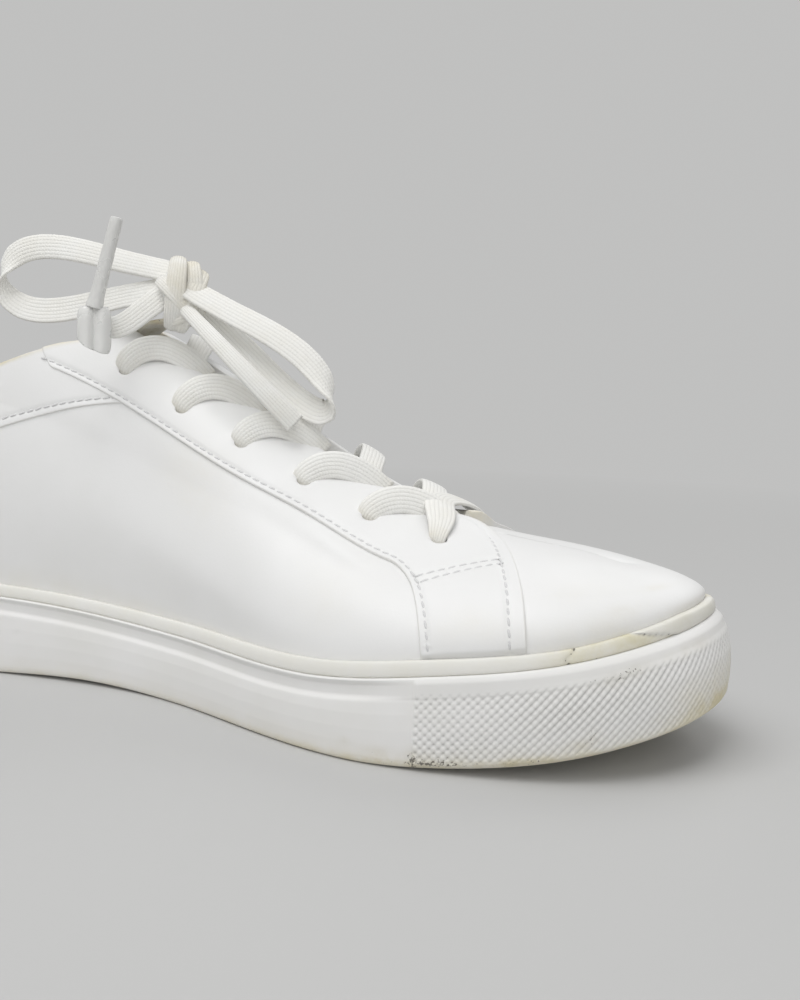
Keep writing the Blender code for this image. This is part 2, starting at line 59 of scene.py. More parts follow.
def makeCamera():
    azimuth, elevation, roll = (math.radians(cameraView[k]) for k in ("azimuth", "elevation", "roll"))
    back = Vector((math.sin(azimuth) * math.cos(elevation), -math.cos(azimuth) * math.cos(elevation),
        math.sin(elevation)))
    right = (-back).cross(Vector((0, 0, 1))).normalized()
    up = right.cross(-back)
    turnedRight = right * math.cos(roll) + up * math.sin(roll)
    turnedUp = up * math.cos(roll) - right * math.sin(roll)
    data = bpy.data.cameras.new("studioCamera")
    data.sensor_fit = "VERTICAL"
    data.sensor_height = cameraView["sensor"]
    data.lens = cameraView["lens"]
    data.clip_start = 0.01
    camera = bpy.data.objects.new("studioCamera", data)
    bpy.context.scene.collection.objects.link(camera)
    matrix = Matrix((turnedRight, turnedUp, back)).transposed().to_4x4()
    matrix.translation = Vector(cameraView["place"])
    camera.matrix_world = matrix
    bpy.context.scene.camera = camera


makeCamera()
print("camera set")


def columns(*rows):
    return [np.array(values, float) for values in zip(*rows)]


def splineOf(xs, ys):  # natural cubic spline through the points
    xs, ys = np.asarray(xs, float), np.asarray(ys, float)
    count = len(xs)
    step = np.diff(xs)
    system, right = np.eye(count), np.zeros(count)
    for i in range(1, count - 1):
        system[i, i - 1:i + 2] = step[i - 1], 2 * (step[i - 1] + step[i]), step[i]
        right[i] = 6 * ((ys[i + 1] - ys[i]) / step[i] - (ys[i] - ys[i - 1]) / step[i - 1])
    bend = np.linalg.solve(system, right)

    def value(x):
        i = np.clip(np.searchsorted(xs, x) - 1, 0, count - 2)
        a = (xs[i + 1] - x) / step[i]
        b = 1 - a
        bent = (a ** 3 - a) * bend[i] + (b ** 3 - b) * bend[i + 1]
        return a * ys[i] + b * ys[i + 1] + bent * step[i] ** 2 / 6

    return value


def ease(x, low, high):  # smooth step from 0 at low to 1 at high
    t = np.clip((np.asarray(x, float) - low) / (high - low), 0, 1)
    return t * t * (3 - 2 * t)


# the lace's free parts: their routes come first

laceSizes = {"width": 7.4, "thick": 1.35, "ribs": 7, "step": 0.8}

# The bow's own axes: right along the bow, up, and near toward the inner side.
bowTurn = math.radians(34)
bowAxes = {"middle": (133.5, -8.0, 108.0), "right": (math.cos(bowTurn), math.sin(bowTurn), 0.0),
    "up": (0.0, 0.0, 1.0),
           "near": (math.sin(bowTurn), -math.cos(bowTurn), 0.0)}

# along, side and height of the bow's cords, as in the part's source
rearLoop = {"leave": (128, -9, 115), "back": (127, -11, 109), "tip": (82, -21, 112), "opening": 15}
frontLoop = {"leave": (141, -11, 108), "back": (141, -6, 103), "tip": (180, -8, 80), "opening": 11}
frontEnd = {"leave": (138, -13, 104), "tip": (173, -14, 74), "bow": (1, -6, 2)}
rearEnd = ((129, -14, 106), (127, -19, 102), (124, -25, 98), (122, -29, 98), (122, -31, 102))
rearAgletEnds = ((122, -31, 103), (127, -28, 126))
cordSteps = {"loop": 17, "arc": 15, "roundness": 0.8}


def loopRoute(leave, back, tip, opening):  # a teardrop from the knot to its tip and back
    leave, back, tip = (np.array(place, float) for place in (leave, back, tip))
    share = np.linspace(0, 1, cordSteps["loop"])[:, None]
    out = np.sin(math.pi * share) ** cordSteps["roundness"]
    spread = np.cos(math.pi * share) * np.sin(math.pi * share)
    return leave + (back - leave) * share + (tip - (leave + back) / 2) * out + np.array((0, 0,
        opening)) * spread


def arcRoute(leave, tip, bow):
    leave, tip, bow = (np.array(place, float) for place in (leave, tip, bow))
    share = np.linspace(0, 1, cordSteps["arc"])[:, None]
    return leave + (tip - leave) * share + bow * 4 * share * (1 - share)

# shape of the last and the sole

soleSizes = {
    "length": 284.0,
    "spring": (13.0, 204.6),  # toe spring and the station where it starts
    "arch": 0.9,
    "heelLift": 1.6,
    "toeLean": 2.0,
    "toeRake": (3.6, 232.0),
    "cupWall": 2.8,
    "gap": 0.3,
    "channel": 0.9,
    "channelEnd": (206.0, 221.0),
    "stripHeight": 2.6,
    "stripInsets": (0.7, 1.1),
}
shoeLength = soleSizes["length"]

outlineAlong, innerHalf, outerHalf = columns(
    (0, 0.0, 0.0), (8, 21.0, 21.0), (22, 31.0, 31.0), (46, 36.8, 37.5), (80, 34.5, 40.0),
    (115, 30.7, 43.6),
    (145, 32.6, 47.2), (175, 41.8, 49.4), (205, 48.5, 47.6), (230, 45.9, 42.0), (252, 40.2, 33.4),
    (268, 31.0, 23.8), (279, 18.9, 12.6), (284, 0.0, 0.0),
)
wallAlong, wallUp, footbedUp = columns(
    (0, 26.5, 14.5), (40, 25.0, 14.0), (90, 22.1, 12.0), (120, 19.4, 10.2), (155, 18.2, 9.0),
    (195, 18.2, 8.6), (217, 20.4, 8.6), (247, 21.3, 8.6), (266, 21.1, 8.6), (284, 20.8, 8.6),
)
ridgeAlong, ridgeUp, ridgeAside, ridgeBulge = columns(
    (0, 132.0, 0.0, 2.6), (50, 124.0, 0.5, 1.8), (83, 112.5, 1.0, 1.6), (100, 105.5, 1.0, 1.6),
    (121, 95.5, 0.5, 1.6), (141, 85.0, 0.0, 1.4), (160, 75.5, -0.5, 1.2), (178, 66.5, -1.0, 1.0),
    (196, 57.6, -1.5, 0.8), (212, 51.4, -2.0, 0.8), (226, 48.0, -2.3, 0.8), (240, 46.2, -2.6, 0.7),
    (252, 44.4, -2.8, 0.5), (260, 42.4, -3.0, 0.4),
)
# how square a rib is
fullAlong, fullPower = columns((0, 3.0), (60, 2.5), (120, 2.75), (200, 1.6), (240, 2.1), (260, 2.1))
collarAlong, collarUp = columns(
    (0, 80.0), (12, 78.6), (28, 75.0), (45, 72.6), (58, 74.4), (70, 80.0), (83, 86.6), (94, 91.0),
    (103, 93.6),
    (112, 95.6), (117, 100.0), (124, 115.0),
)
lastSizes = {
    "ribsBack": (95.0, 46.0),  # ribs behind the first station fan in to the second
    "ribsFront": (212.0, 27.0),
    "collarEnd": 123.0,
    "throatTop": 90.0,
    "throatEnd": 219.5,
    "throatHalf": (5.0, 6.5),
    "throatRound": 7.0,
}


def swing(along):
    return np.arccos(np.clip(1 - 2 * np.asarray(along, float) / shoeLength, -1, 1))


innerHalfAt = splineOf(swing(outlineAlong), innerHalf)
outerHalfAt = splineOf(swing(outlineAlong), outerHalf)
wallUpAt = splineOf(wallAlong, wallUp)
footbedUpAt = splineOf(wallAlong, footbedUp)
ridgeUpAt = splineOf(ridgeAlong, ridgeUp)
ridgeAsideAt = splineOf(ridgeAlong, ridgeAside)
ridgeFullAt = splineOf(fullAlong, fullPower)
ridgeBulgeAt = splineOf(ridgeAlong, ridgeBulge)
collarUpAt = splineOf(collarAlong, collarUp)
sideShift = (innerHalfAt(np.linspace(0, math.pi, 400)).max() - outerHalfAt(np.linspace(0, math.pi,
    400)).max()) / 2


def underside(station):  # height of the sole's bottom
    spring, start = soleSizes["spring"]
    lift = spring * np.clip((station - start) / (shoeLength - start), 0, 1) ** 2
    lift = lift + soleSizes["arch"] * np.sin(math.pi * np.clip((station - 78) / 72, 0, 1)) ** 2
    return lift + soleSizes["heelLift"] * np.clip(1 - station / 14, 0, 1) ** 2


def rimUp(station):
    return underside(station) + wallUpAt(station)


def outlineAt(turn):  # turns 0 to pi run up the inner side, pi to 2 pi back down the outer one
    turn = np.asarray(turn, float) % (2 * math.pi)
    inner = turn <= math.pi
    halfTurn = np.where(inner, turn, 2 * math.pi - turn)
    along = shoeLength * (1 - np.cos(halfTurn)) / 2
    side = np.where(inner, -innerHalfAt(halfTurn), outerHalfAt(halfTurn))
    return along, side - soleSizes["toeLean"] * np.clip((along - 180) / (shoeLength - 180), 0,
        1) ** 2 + sideShift


def insetAt(turn, inset):
    along, side = outlineAt(turn)
    ahead, aheadSide = outlineAt(turn + 0.002)
    behind, behindSide = outlineAt(turn - 0.002)
    dx, dy = ahead - behind, aheadSide - behindSide
    size = np.hypot(dx, dy)
    return along - dy / size * inset, side + dx / size * inset


def rakeAt(station):
    reach, start = soleSizes["toeRake"]
    return reach * ease(station, start, shoeLength)


def turnAt(station, sideSign=-1):  # -1 is the inner side
    halfTurn = swing(station)
    return halfTurn if sideSign < 0 else 2 * math.pi - halfTurn


def ribFoot(turn):
    station = outlineAt(turn)[0]
    along, side = insetAt(turn, soleSizes["cupWall"] + soleSizes["gap"] + rakeAt(station))
    return along, side, rimUp(station) + soleSizes["stripHeight"]


def ribHead(turn):
    station = outlineAt(turn)[0]
    start, reach = lastSizes["ribsBack"]
    back = reach * np.clip((start - station) / start, 0, 1) ** 2
    start, reach = lastSizes["ribsFront"]
    along = station + back - reach * np.clip((station - start) / (shoeLength - start), 0, 1) ** 2
    return along, ridgeAsideAt(along) + sideShift, ridgeUpAt(along)


def lastPoint(turn, rise):  # rise 0 is at the strip and 1 on the ridge line
    x0, y0, z0 = ribFoot(turn)
    x1, y1, z1 = ribHead(turn)
    power = 2 / ridgeFullAt(x1)
    across = 1 - np.clip(np.cos(rise * math.pi / 2), 0, 1) ** power
    height = np.clip(np.sin(rise * math.pi / 2), 0, 1) ** power
    out = ridgeBulgeAt(x1) * np.sin(math.pi * np.minimum(1, height / 0.6))
    shift = across - out / np.hypot(x1 - x0, y1 - y0)
    return np.stack(np.broadcast_arrays(x0 + (x1 - x0) * shift, y0 + (y1 - y0) * shift,
        z0 + (z1 - z0) * height), -1)


def unit(vectors):
    return vectors / np.maximum(np.linalg.norm(vectors, axis=-1, keepdims=True), 1e-9)


def lastNormal(turn, rise):
    up = lastPoint(turn, np.clip(rise + 0.008, 0, 1)) - lastPoint(turn, np.clip(rise - 0.008, 0.0, 1))
    ahead = lastPoint(turn + 0.006, rise) - lastPoint(turn - 0.006, rise)
    return unit(np.cross(ahead, up))


def halved(low, high, passes, shape):  # smallest value from low to high at which the test passes
    lows, highs = np.full(shape, low, float), np.full(shape, high, float)
    for _ in range(26):
        middle = (lows + highs) / 2
        good = passes(middle)
        highs = np.where(good, middle, highs)
        lows = np.where(good, lows, middle)
    return highs


def halfGapAt(along):
    low, high = lastSizes["throatHalf"]
    end = lastSizes["throatEnd"]
    share = np.clip((end - along) / (end - 119), 0, 1)
    tip = np.clip((end - along) / lastSizes["throatRound"], 0, 1)
    return (low + (high - low) * share) * np.sqrt(np.maximum(0, 1 - (1 - tip) ** 2))


def topRise(turn):  # rise of the free edge: the collar, then the throat
    turn = np.asarray(turn, float)
    head = ribHead(turn)[0]
    middle = ridgeAsideAt(head) + sideShift
    gap = halfGapAt(head)
    throat = halved(0, 1, lambda t: np.abs(lastPoint(turn, t)[..., 1] - middle) <= gap, turn.shape)
    throat = np.where((head > lastSizes["throatTop"]) & (head < lastSizes["throatEnd"]), throat, 1.0)
    limit = collarUpAt(np.maximum(0, outlineAt(turn)[0]))
    collar = halved(0, 1, lambda t: lastPoint(turn, t)[..., 2] >= limit, turn.shape)
    return np.where(head < lastSizes["collarEnd"], np.minimum(throat, collar), throat)


def chartAt(along, beside):  # turn and rise of the point at a station and a distance beside the ridge
    along, beside = np.broadcast_arrays(np.asarray(along, float), np.asarray(beside, float))
    outer = beside > 0

    def turned(halfTurn):
        return np.where(outer, 2 * math.pi - halfTurn, halfTurn)

    def riseBeside(turn):
        middle = ribHead(turn)[1]
        return halved(0, 1, lambda t: np.abs(lastPoint(turn, t)[..., 1] - middle) <= np.abs(beside),
            turn.shape)

    halfTurn = halved(0.3, math.pi - 0.02,
        lambda h: lastPoint(turned(h), riseBeside(turned(h)))[..., 0] >= along, along.shape)
    return turned(halfTurn), riseBeside(turned(halfTurn))


def skinFrame(along, beside):  # point on the bare last and its outward normal
    turn, rise = chartAt(along, beside)
    return lastPoint(turn, rise), lastNormal(turn, rise)


def gridQuads(rowCount, columnCount, start=0):
    i, j = np.meshgrid(np.arange(rowCount - 1), np.arange(columnCount - 1), indexing="ij")
    first = start + i * columnCount + j
    return np.stack([first, first + 1, first + columnCount + 1, first + columnCount], -1).reshape(-1, 4)


def inMetres(points):
    points = np.asarray(points, float).reshape(-1, 3) * mm
    return points - np.array([shoeLength / 2 * mm, 0, 0])


def meshPiece(name, points, faces, materials, fields=None, uv=None, faceMaterials=None, weld=0.0):
    mesh = bpy.data.meshes.new(name)
    mesh.from_pydata(inMetres(points).tolist(), [],
        [list(f) for f in np.asarray(faces, object)] if not isinstance(faces,
        np.ndarray) else faces.tolist())
    for material in materials:
        mesh.materials.append(material)
    if faceMaterials is not None:
        mesh.polygons.foreach_set("material_index", np.asarray(faceMaterials, np.int32))
    for field, values in (fields or {}).items():
        mesh.attributes.new(field, "FLOAT", "POINT").data.foreach_set("value",
            np.asarray(values, np.float32).ravel())
    if uv is not None:
        layer = mesh.uv_layers.new(name="weave")
        corner = np.empty(len(mesh.loops), np.int32)
        mesh.loops.foreach_get("vertex_index", corner)
        layer.data.foreach_set("uv", np.asarray(uv, np.float32).reshape(-1, 2)[corner].ravel())
    if weld:
        work = bmesh.new()
        work.from_mesh(mesh)
        bmesh.ops.remove_doubles(work, verts=work.verts, dist=weld * mm)
        work.to_mesh(mesh)
        work.free()
    mesh.validate()
    mesh.shade_smooth()
    piece = bpy.data.objects.new(name, mesh)
    bpy.context.scene.collection.objects.link(piece)
    return piece


def addPiece(piece, slot, *nodes):
    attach(piece, "root")
    if nodes:
        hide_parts(*nodes)
    return piece


def nearestGap(points, line):  # distance of each point from a densely sampled line
    flat = points.reshape(-1, 3)
    best = np.full(len(flat), 1e9)
    low, high = line.min(0) - 4, line.max(0) + 4
    close = np.all((flat > low) & (flat < high), 1)
    near = flat[close]
    found = np.full(len(near), 1e9)
    for start in range(0, len(line), 60):
        part = line[start:start + 60]
        found = np.minimum(found, np.sqrt(((near[:, None] - part[None]) ** 2).sum(-1)).min(1))
    best[close] = found
    return best.reshape(points.shape[:-1])


def evenly(points, spacing):  # the same polyline with points at even spacing
    run = np.concatenate([[0], np.cumsum(np.linalg.norm(np.diff(points, axis=0), axis=1))])
    count = max(2, int(round(run[-1] / spacing)) + 1)
    wanted = np.linspace(0, run[-1], count)
    return np.stack([np.interp(wanted, run, points[:, k]) for k in range(points.shape[1])], 1)


def smoothLine(points, samples=400):  # smooth curve through a few points of any dimension
    points = np.asarray(points, float)
    run = np.concatenate([[0], np.cumsum(np.linalg.norm(np.diff(points, axis=0), axis=1))])
    wanted = np.linspace(0, run[-1], samples)
    return np.stack([splineOf(run, points[:, k])(wanted) for k in range(points.shape[1])], 1)

def addNode(tree, kind, inputs=None, **settings):
    node = tree.nodes.new(kind)
    for key, value in settings.items():
        setattr(node, key, value)
    for key, value in (inputs or {}).items():
        if isinstance(value, bpy.types.NodeSocket):
            tree.links.new(value, node.inputs[key])
        else:
            node.inputs[key].default_value = value
    return node


def newGroup(name, inputs, outputs):
    tree = bpy.data.node_groups.new(name, "ShaderNodeTree")
    for label, kind, value in inputs:
        socket = tree.interface.new_socket(label, in_out="INPUT", socket_type="NodeSocket" + kind)
        if value is not None:
            socket.default_value = value
    for label, kind in outputs:
        tree.interface.new_socket(label, in_out="OUTPUT", socket_type="NodeSocket" + kind)
    return tree, tree.nodes.new("NodeGroupInput").outputs, tree.nodes.new("NodeGroupOutput").inputs


def useMath(tree, operation, first, second=0.0, third=None):
    node = addNode(tree, "ShaderNodeMath", {0: first, 1: second}, operation=operation)
    if third is not None:
        if isinstance(third, bpy.types.NodeSocket):
            tree.links.new(third, node.inputs[2])
        else:
            node.inputs[2].default_value = third
    return node.outputs[0]


def useRange(tree, value, fromLow, fromHigh, toLow=0.0, toHigh=1.0):
    node = addNode(tree, "ShaderNodeMapRange", {0: value, 1: fromLow, 2: fromHigh, 3: toLow, 4: toHigh})
    node.clamp = True
    return node.outputs[0]


def useNoise(tree, vector, scale, detail=3.0, rough=0.5):
    return addNode(tree, "ShaderNodeTexNoise",
        {"Vector": vector, "Scale": scale, "Detail": detail, "Roughness": rough}).outputs["Fac"]


def useMix(tree, factor, first, second):
    node = addNode(tree, "ShaderNodeMix", data_type="RGBA")
    for index, value in ((0, factor), (6, first), (7, second)):
        if isinstance(value, bpy.types.NodeSocket):
            tree.links.new(value, node.inputs[index])
        else:
            node.inputs[index].default_value = value
    return node.outputs[2]


def makeGrainGroup():  # pebbled leather skin, scale in grains a metre
    tree, take, give = newGroup(
        "leatherGrain",
        (("Vector", "Vector", None), ("Scale", "Float", 1500.0), ("Pebble", "Float", 0.5)),
        (("Height", "Float"), ("Cloud", "Float")),
    )
    cells = addNode(tree, "ShaderNodeTexVoronoi", {"Vector": take["Vector"], "Scale": take["Scale"]},
        feature="SMOOTH_F1")
    fine = useNoise(tree, take["Vector"], 900.0, 4.0)
    slow = useNoise(tree, take["Vector"], 55.0, 2.0)
    pebble = useMath(tree, "MULTIPLY", cells.outputs["Distance"], take["Pebble"])
    tree.links.new(useMath(tree, "ADD",
        useMath(tree, "ADD", pebble, useMath(tree, "MULTIPLY", fine, 0.5)),
        useMath(tree, "MULTIPLY", slow, 1.5)), give["Height"])
    tree.links.new(useRange(tree, slow, 0.32, 0.68), give["Cloud"])
    return tree


def makeWearAndShadeGroup():  # yellowing where the Yellow field says, dark specks where the Grime field says, and painted shade toward grey in recesses where the recess shade field says
    tree, take, give = newGroup(
        "agedTintAndShade",
        (("Color", "Color", (0.8, 0.8, 0.8, 1)), ("Yellowed", "Color", (0.72, 0.66, 0.47, 1)),
        ("Soil", "Color", (0.10, 0.09, 0.075, 1)),
         ("Vector", "Vector", None), ("Yellow", "Float", 0.0), ("Grime", "Float", 0.0),
         ("Recess Shade", "Float", 0.0), ("Speck Scale", "Float", 900.0)),
        (("Color", "Color"), ("Speck", "Float"), ("Aged", "Float")),
    )
    blotch = useNoise(tree, take["Vector"], 140.0, 4.0, 0.65)
    aged = useMath(tree, "MULTIPLY", take["Yellow"], useRange(tree, blotch, 0.3, 0.7, 0.35, 1.3))
    agedFactor = addNode(tree, "ShaderNodeClamp", {0: aged}).outputs[0]
    fine = useNoise(tree, take["Vector"], take["Speck Scale"], 3.0, 0.6)
    limit = useRange(tree, take["Grime"], 0.0, 1.0, 0.80, 0.47)
    speck = useMath(tree, "MULTIPLY", useRange(tree, useMath(tree, "SUBTRACT", fine, limit), 0.0, 0.07),
        0.85)
    smear = useMath(tree, "MULTIPLY", take["Grime"], useRange(tree, blotch, 0.35, 0.65, 0.0, 0.2))
    # painted shade: the colour goes toward grey in the recesses between raised cells
    recessShaded = useMix(tree, useMath(tree, "MULTIPLY", take["Recess Shade"], 0.5), take["Color"],
        (0.36, 0.355, 0.35, 1))
    tinted = useMix(tree, agedFactor, recessShaded, take["Yellowed"])
    smeared = useMix(tree, smear, tinted, take["Soil"])
    tree.links.new(useMix(tree, speck, smeared, take["Soil"]), give["Color"])
    tree.links.new(speck, give["Speck"])
    tree.links.new(agedFactor, give["Aged"])
    return tree


def makeKnitGroup():  # lengthwise ribs with a fine knit, on the lace's own length and width, and a mask for painted shade between the ribs
    tree, take, give = newGroup(
        "laceKnit",
        (("Vector", "Vector", None), ("Ribs", "Float", 7.0), ("Knit Pitch", "Float", 0.95)),
        (("Height", "Float"), ("Rib Gap Shade", "Float")),
    )
    parts = addNode(tree, "ShaderNodeSeparateXYZ", {0: take["Vector"]})
    ribPlace = useMath(tree, "MULTIPLY", parts.outputs["Y"], take["Ribs"])
    ribShare = useMath(tree, "FRACT", ribPlace)
    # 0 on a rib, 0.5 between two
    fromMiddle = useMath(tree, "ABSOLUTE", useMath(tree, "SUBTRACT", ribShare, 0.5))
    ribHeight = useMath(tree, "SUBTRACT", 1.0,
        useMath(tree, "POWER", useMath(tree, "MULTIPLY", fromMiddle, 2.0), 2.4))
    knitPlace = useMath(tree, "ADD", useMath(tree, "DIVIDE", parts.outputs["X"], take["Knit Pitch"]),
        useMath(tree, "MULTIPLY", fromMiddle, 0.8))
    knit = useMath(tree, "ADD", useMath(tree, "MULTIPLY",
        useMath(tree, "SINE", useMath(tree, "MULTIPLY", knitPlace, 6.2832)), 0.5), 0.5)
    tree.links.new(useMath(tree, "ADD", useMath(tree, "MULTIPLY", ribHeight, 0.8),
        useMath(tree, "MULTIPLY", knit, 0.3)), give["Height"])
    tree.links.new(useRange(tree, fromMiddle, 0.3, 0.5), give["Rib Gap Shade"])
    return tree


leatherGrain, agedTintAndShade, laceKnit = makeGrainGroup(), makeWearAndShadeGroup(), makeKnitGroup()

coatColours = {
    "leather": (0.80, 0.80, 0.795, 1),
    "leatherCloud": (0.78, 0.78, 0.772, 1),
    "leatherAged": (0.68, 0.61, 0.42, 1),
    "rubber": (0.80, 0.795, 0.785, 1),
    "rubberCloud": (0.77, 0.765, 0.745, 1),
    "rubberAged": (0.68, 0.62, 0.44, 1),
    "tape": (0.755, 0.75, 0.72, 1),
    "tapeAged": (0.66, 0.62, 0.45, 1),
    "lace": (0.86, 0.86, 0.84, 1),
    "laceRibShade": (0.52, 0.52, 0.50, 1),
    "laceAged": (0.62, 0.54, 0.34, 1),
    # painted shade: the thread is coloured darker than the leather, standing in for the shade in the stitch
    # recesses
    "threadShaded": (0.70, 0.70, 0.70, 1),
    "lining": (0.62, 0.61, 0.59, 1),
    "insole": (0.50, 0.49, 0.47, 1),
    "aglet": (0.87, 0.87, 0.85, 1),
    "floor": (0.52, 0.52, 0.515, 1),
    "backdrop": (0.53, 0.53, 0.525, 1),
}


def newMaterial(name, roughness, coat=0.0, coatRough=0.2):
    material = bpy.data.materials.new(name)
    material.use_nodes = True
    tree = material.node_tree
    shader = tree.nodes["Principled BSDF"]
    shader.inputs["Roughness"].default_value = roughness
    shader.inputs["Coat Weight"].default_value = coat
    shader.inputs["Coat Roughness"].default_value = coatRough
    place = tree.nodes.new("ShaderNodeTexCoord").outputs["Object"]
    return material, tree, shader, place


def fieldOf(tree, name):
    return addNode(tree, "ShaderNodeAttribute", attribute_name=name).outputs["Fac"]


def makeAged(name, colour, cloud, aged, roughness, grain, pebble, bump, speckScale, coat=0.0,
        roughRange=(0.0, 0.0)):
    material, tree, shader, place = newMaterial(name, roughness, coat)
    skin = tree.nodes.new("ShaderNodeGroup")
    skin.node_tree = leatherGrain
    tree.links.new(place, skin.inputs["Vector"])
    skin.inputs["Scale"].default_value = grain
    skin.inputs["Pebble"].default_value = pebble
    wearAndShade = tree.nodes.new("ShaderNodeGroup")
    wearAndShade.node_tree = agedTintAndShade
    tree.links.new(place, wearAndShade.inputs["Vector"])
    tree.links.new(useMix(tree, skin.outputs["Cloud"], colour, cloud), wearAndShade.inputs["Color"])
    wearAndShade.inputs["Yellowed"].default_value = aged
    wearAndShade.inputs["Speck Scale"].default_value = speckScale
    tree.links.new(fieldOf(tree, "yellow"), wearAndShade.inputs["Yellow"])
    tree.links.new(fieldOf(tree, "grime"), wearAndShade.inputs["Grime"])
    # painted shade in the recesses, from the mesh's recess field
    tree.links.new(fieldOf(tree, "recessShade"), wearAndShade.inputs["Recess Shade"])
    tree.links.new(wearAndShade.outputs["Color"], shader.inputs["Base Color"])
    if roughRange[1]:
        tree.links.new(useRange(tree, skin.outputs["Cloud"], 0.0, 1.0, *roughRange),
            shader.inputs["Roughness"])
    bumpNode = addNode(tree, "ShaderNodeBump",
        {"Strength": bump[0], "Distance": bump[1], "Height": skin.outputs["Height"]})
    tree.links.new(bumpNode.outputs[0], shader.inputs["Normal"])
    return material


def makeLaceMaterial():
    material, tree, shader, place = newMaterial("laceCotton", 0.86)
    shader.inputs["Sheen Weight"].default_value = 0.25
    shader.inputs["Sheen Roughness"].default_value = 0.5
    knit = tree.nodes.new("ShaderNodeGroup")
    knit.node_tree = laceKnit
    tree.links.new(addNode(tree, "ShaderNodeUVMap", uv_map="weave").outputs[0], knit.inputs["Vector"])
    knit.inputs["Ribs"].default_value = laceSizes["ribs"]
    wearAndShade = tree.nodes.new("ShaderNodeGroup")
    wearAndShade.node_tree = agedTintAndShade
    tree.links.new(place, wearAndShade.inputs["Vector"])
    # painted shade: the lace is coloured darker in the grooves between its ribs
    tree.links.new(useMix(tree, useMath(tree, "MULTIPLY", knit.outputs["Rib Gap Shade"], 0.22),
        coatColours["lace"], coatColours["laceRibShade"]), wearAndShade.inputs["Color"])
    wearAndShade.inputs["Yellowed"].default_value = coatColours["laceAged"]
    tree.links.new(fieldOf(tree, "yellow"), wearAndShade.inputs["Yellow"])
    tree.links.new(fieldOf(tree, "grime"), wearAndShade.inputs["Grime"])
    tree.links.new(wearAndShade.outputs["Color"], shader.inputs["Base Color"])
    fuzz = useNoise(tree, place, 2600.0, 2.0)
    height = useMath(tree, "ADD", knit.outputs["Height"], useMath(tree, "MULTIPLY", fuzz, 0.35))
    bump = addNode(tree, "ShaderNodeBump", {"Strength": 0.75, "Distance": 0.00016, "Height": height})
    tree.links.new(bump.outputs[0], shader.inputs["Normal"])
    return material


def makeClothMaterial(name, colour, scale, roughness=0.9):
    material, tree, shader, place = newMaterial(name, roughness)
    waves = [
        addNode(tree, "ShaderNodeTexWave",
        {"Vector": place, "Scale": scale, "Distortion": 0.6, "Detail": 1.0},
        bands_direction=way).outputs["Fac"]
        for way in ("X", "Y", "Z")
    ]
    weave = useMath(tree, "MAXIMUM", waves[0], useMath(tree, "MAXIMUM", waves[1], waves[2]))
    shade = useMix(tree, useMath(tree, "MULTIPLY", useNoise(tree, place, 120.0, 4.0), 0.5), colour,
        tuple(c * 0.8 for c in colour[:3]) + (1,))
    tree.links.new(shade, shader.inputs["Base Color"])
    bump = addNode(tree, "ShaderNodeBump", {"Strength": 0.5, "Distance": 0.0003, "Height": weave})
    tree.links.new(bump.outputs[0], shader.inputs["Normal"])
    return material


def makeThreadMaterial():
    material, tree, shader, place = newMaterial("seamThread", 0.6)
    # painted shade: the thread's grey stands in for the shade in the stitch recesses
    shade = useMix(tree, useNoise(tree, place, 400.0, 2.0), coatColours["threadShaded"],
        tuple(c * 0.9 for c in coatColours["threadShaded"][:3]) + (1,))
    tree.links.new(shade, shader.inputs["Base Color"])
    twist = addNode(tree, "ShaderNodeTexWave", {"Vector": place, "Scale": 900.0, "Distortion": 1.0},
        bands_direction="DIAGONAL").outputs["Fac"]
    bump = addNode(tree, "ShaderNodeBump", {"Strength": 0.4, "Distance": 0.0001, "Height": twist})
    tree.links.new(bump.outputs[0], shader.inputs["Normal"])
    return material


def makeAgletMaterial():
    material, tree, shader, place = newMaterial("agletFilm", 0.28)
    cloudy = useNoise(tree, place, 260.0, 3.0)
    tree.links.new(useMix(tree, cloudy, coatColours["aglet"], (0.82, 0.82, 0.80, 1)),
        shader.inputs["Base Color"])
    tree.links.new(useRange(tree, cloudy, 0.3, 0.7, 0.22, 0.4), shader.inputs["Roughness"])
    shader.inputs["Transmission Weight"].default_value = 0.25
    shader.inputs["IOR"].default_value = 1.45
    bump = addNode(tree, "ShaderNodeBump",
        {"Strength": 0.4, "Distance": 0.0002, "Height": useNoise(tree, place, 500.0, 2.0)})
    tree.links.new(bump.outputs[0], shader.inputs["Normal"])
    return material


coatedLeather = makeAged("coatedLeather", coatColours["leather"], coatColours["leatherCloud"],
    coatColours["leatherAged"],
                         0.5, 1700.0, 0.5, (0.16, 0.00012), 1300.0, roughRange=(0.46, 0.55))
wallRubber = makeAged("wallRubber", coatColours["rubber"], coatColours["rubberCloud"],
    coatColours["rubberAged"],
                      0.6, 700.0, 0.2, (0.15, 0.0001), 1500.0, roughRange=(0.55, 0.65))
tapeRubber = makeAged("tapeRubber", coatColours["tape"], coatColours["rubberCloud"],
    coatColours["tapeAged"],
                      0.58, 800.0, 0.25, (0.2, 0.0001), 1100.0, roughRange=(0.5, 0.62))
treadRubber = makeAged("treadRubber", (0.66, 0.65, 0.61, 1), (0.58, 0.56, 0.51, 1),
    coatColours["rubberAged"],
                       0.7, 500.0, 0.5, (0.4, 0.0002), 500.0, roughRange=(0.62, 0.8))
laceCotton, seamThread, agletFilm = makeLaceMaterial(), makeThreadMaterial(), makeAgletMaterial()
liningCloth = makeClothMaterial("liningCloth", coatColours["lining"], 260.0)
insoleCloth = makeClothMaterial("insoleCloth", coatColours["insole"], 200.0)
print("finishes made")

# the upper

upperSizes = {
    "columns": 600,
    "rows": 60,
    "liningRows": 30,
    "wall": 1.8,
    "collarWall": 2.4,
    "collarPad": 3.4,  # how much thicker the padded collar is
    "padFrom": (3.0, 9.0),
    "padTo": (20.0, 34.0),
    "tuck": 3.0,  # how far the skin runs down behind the strip
}

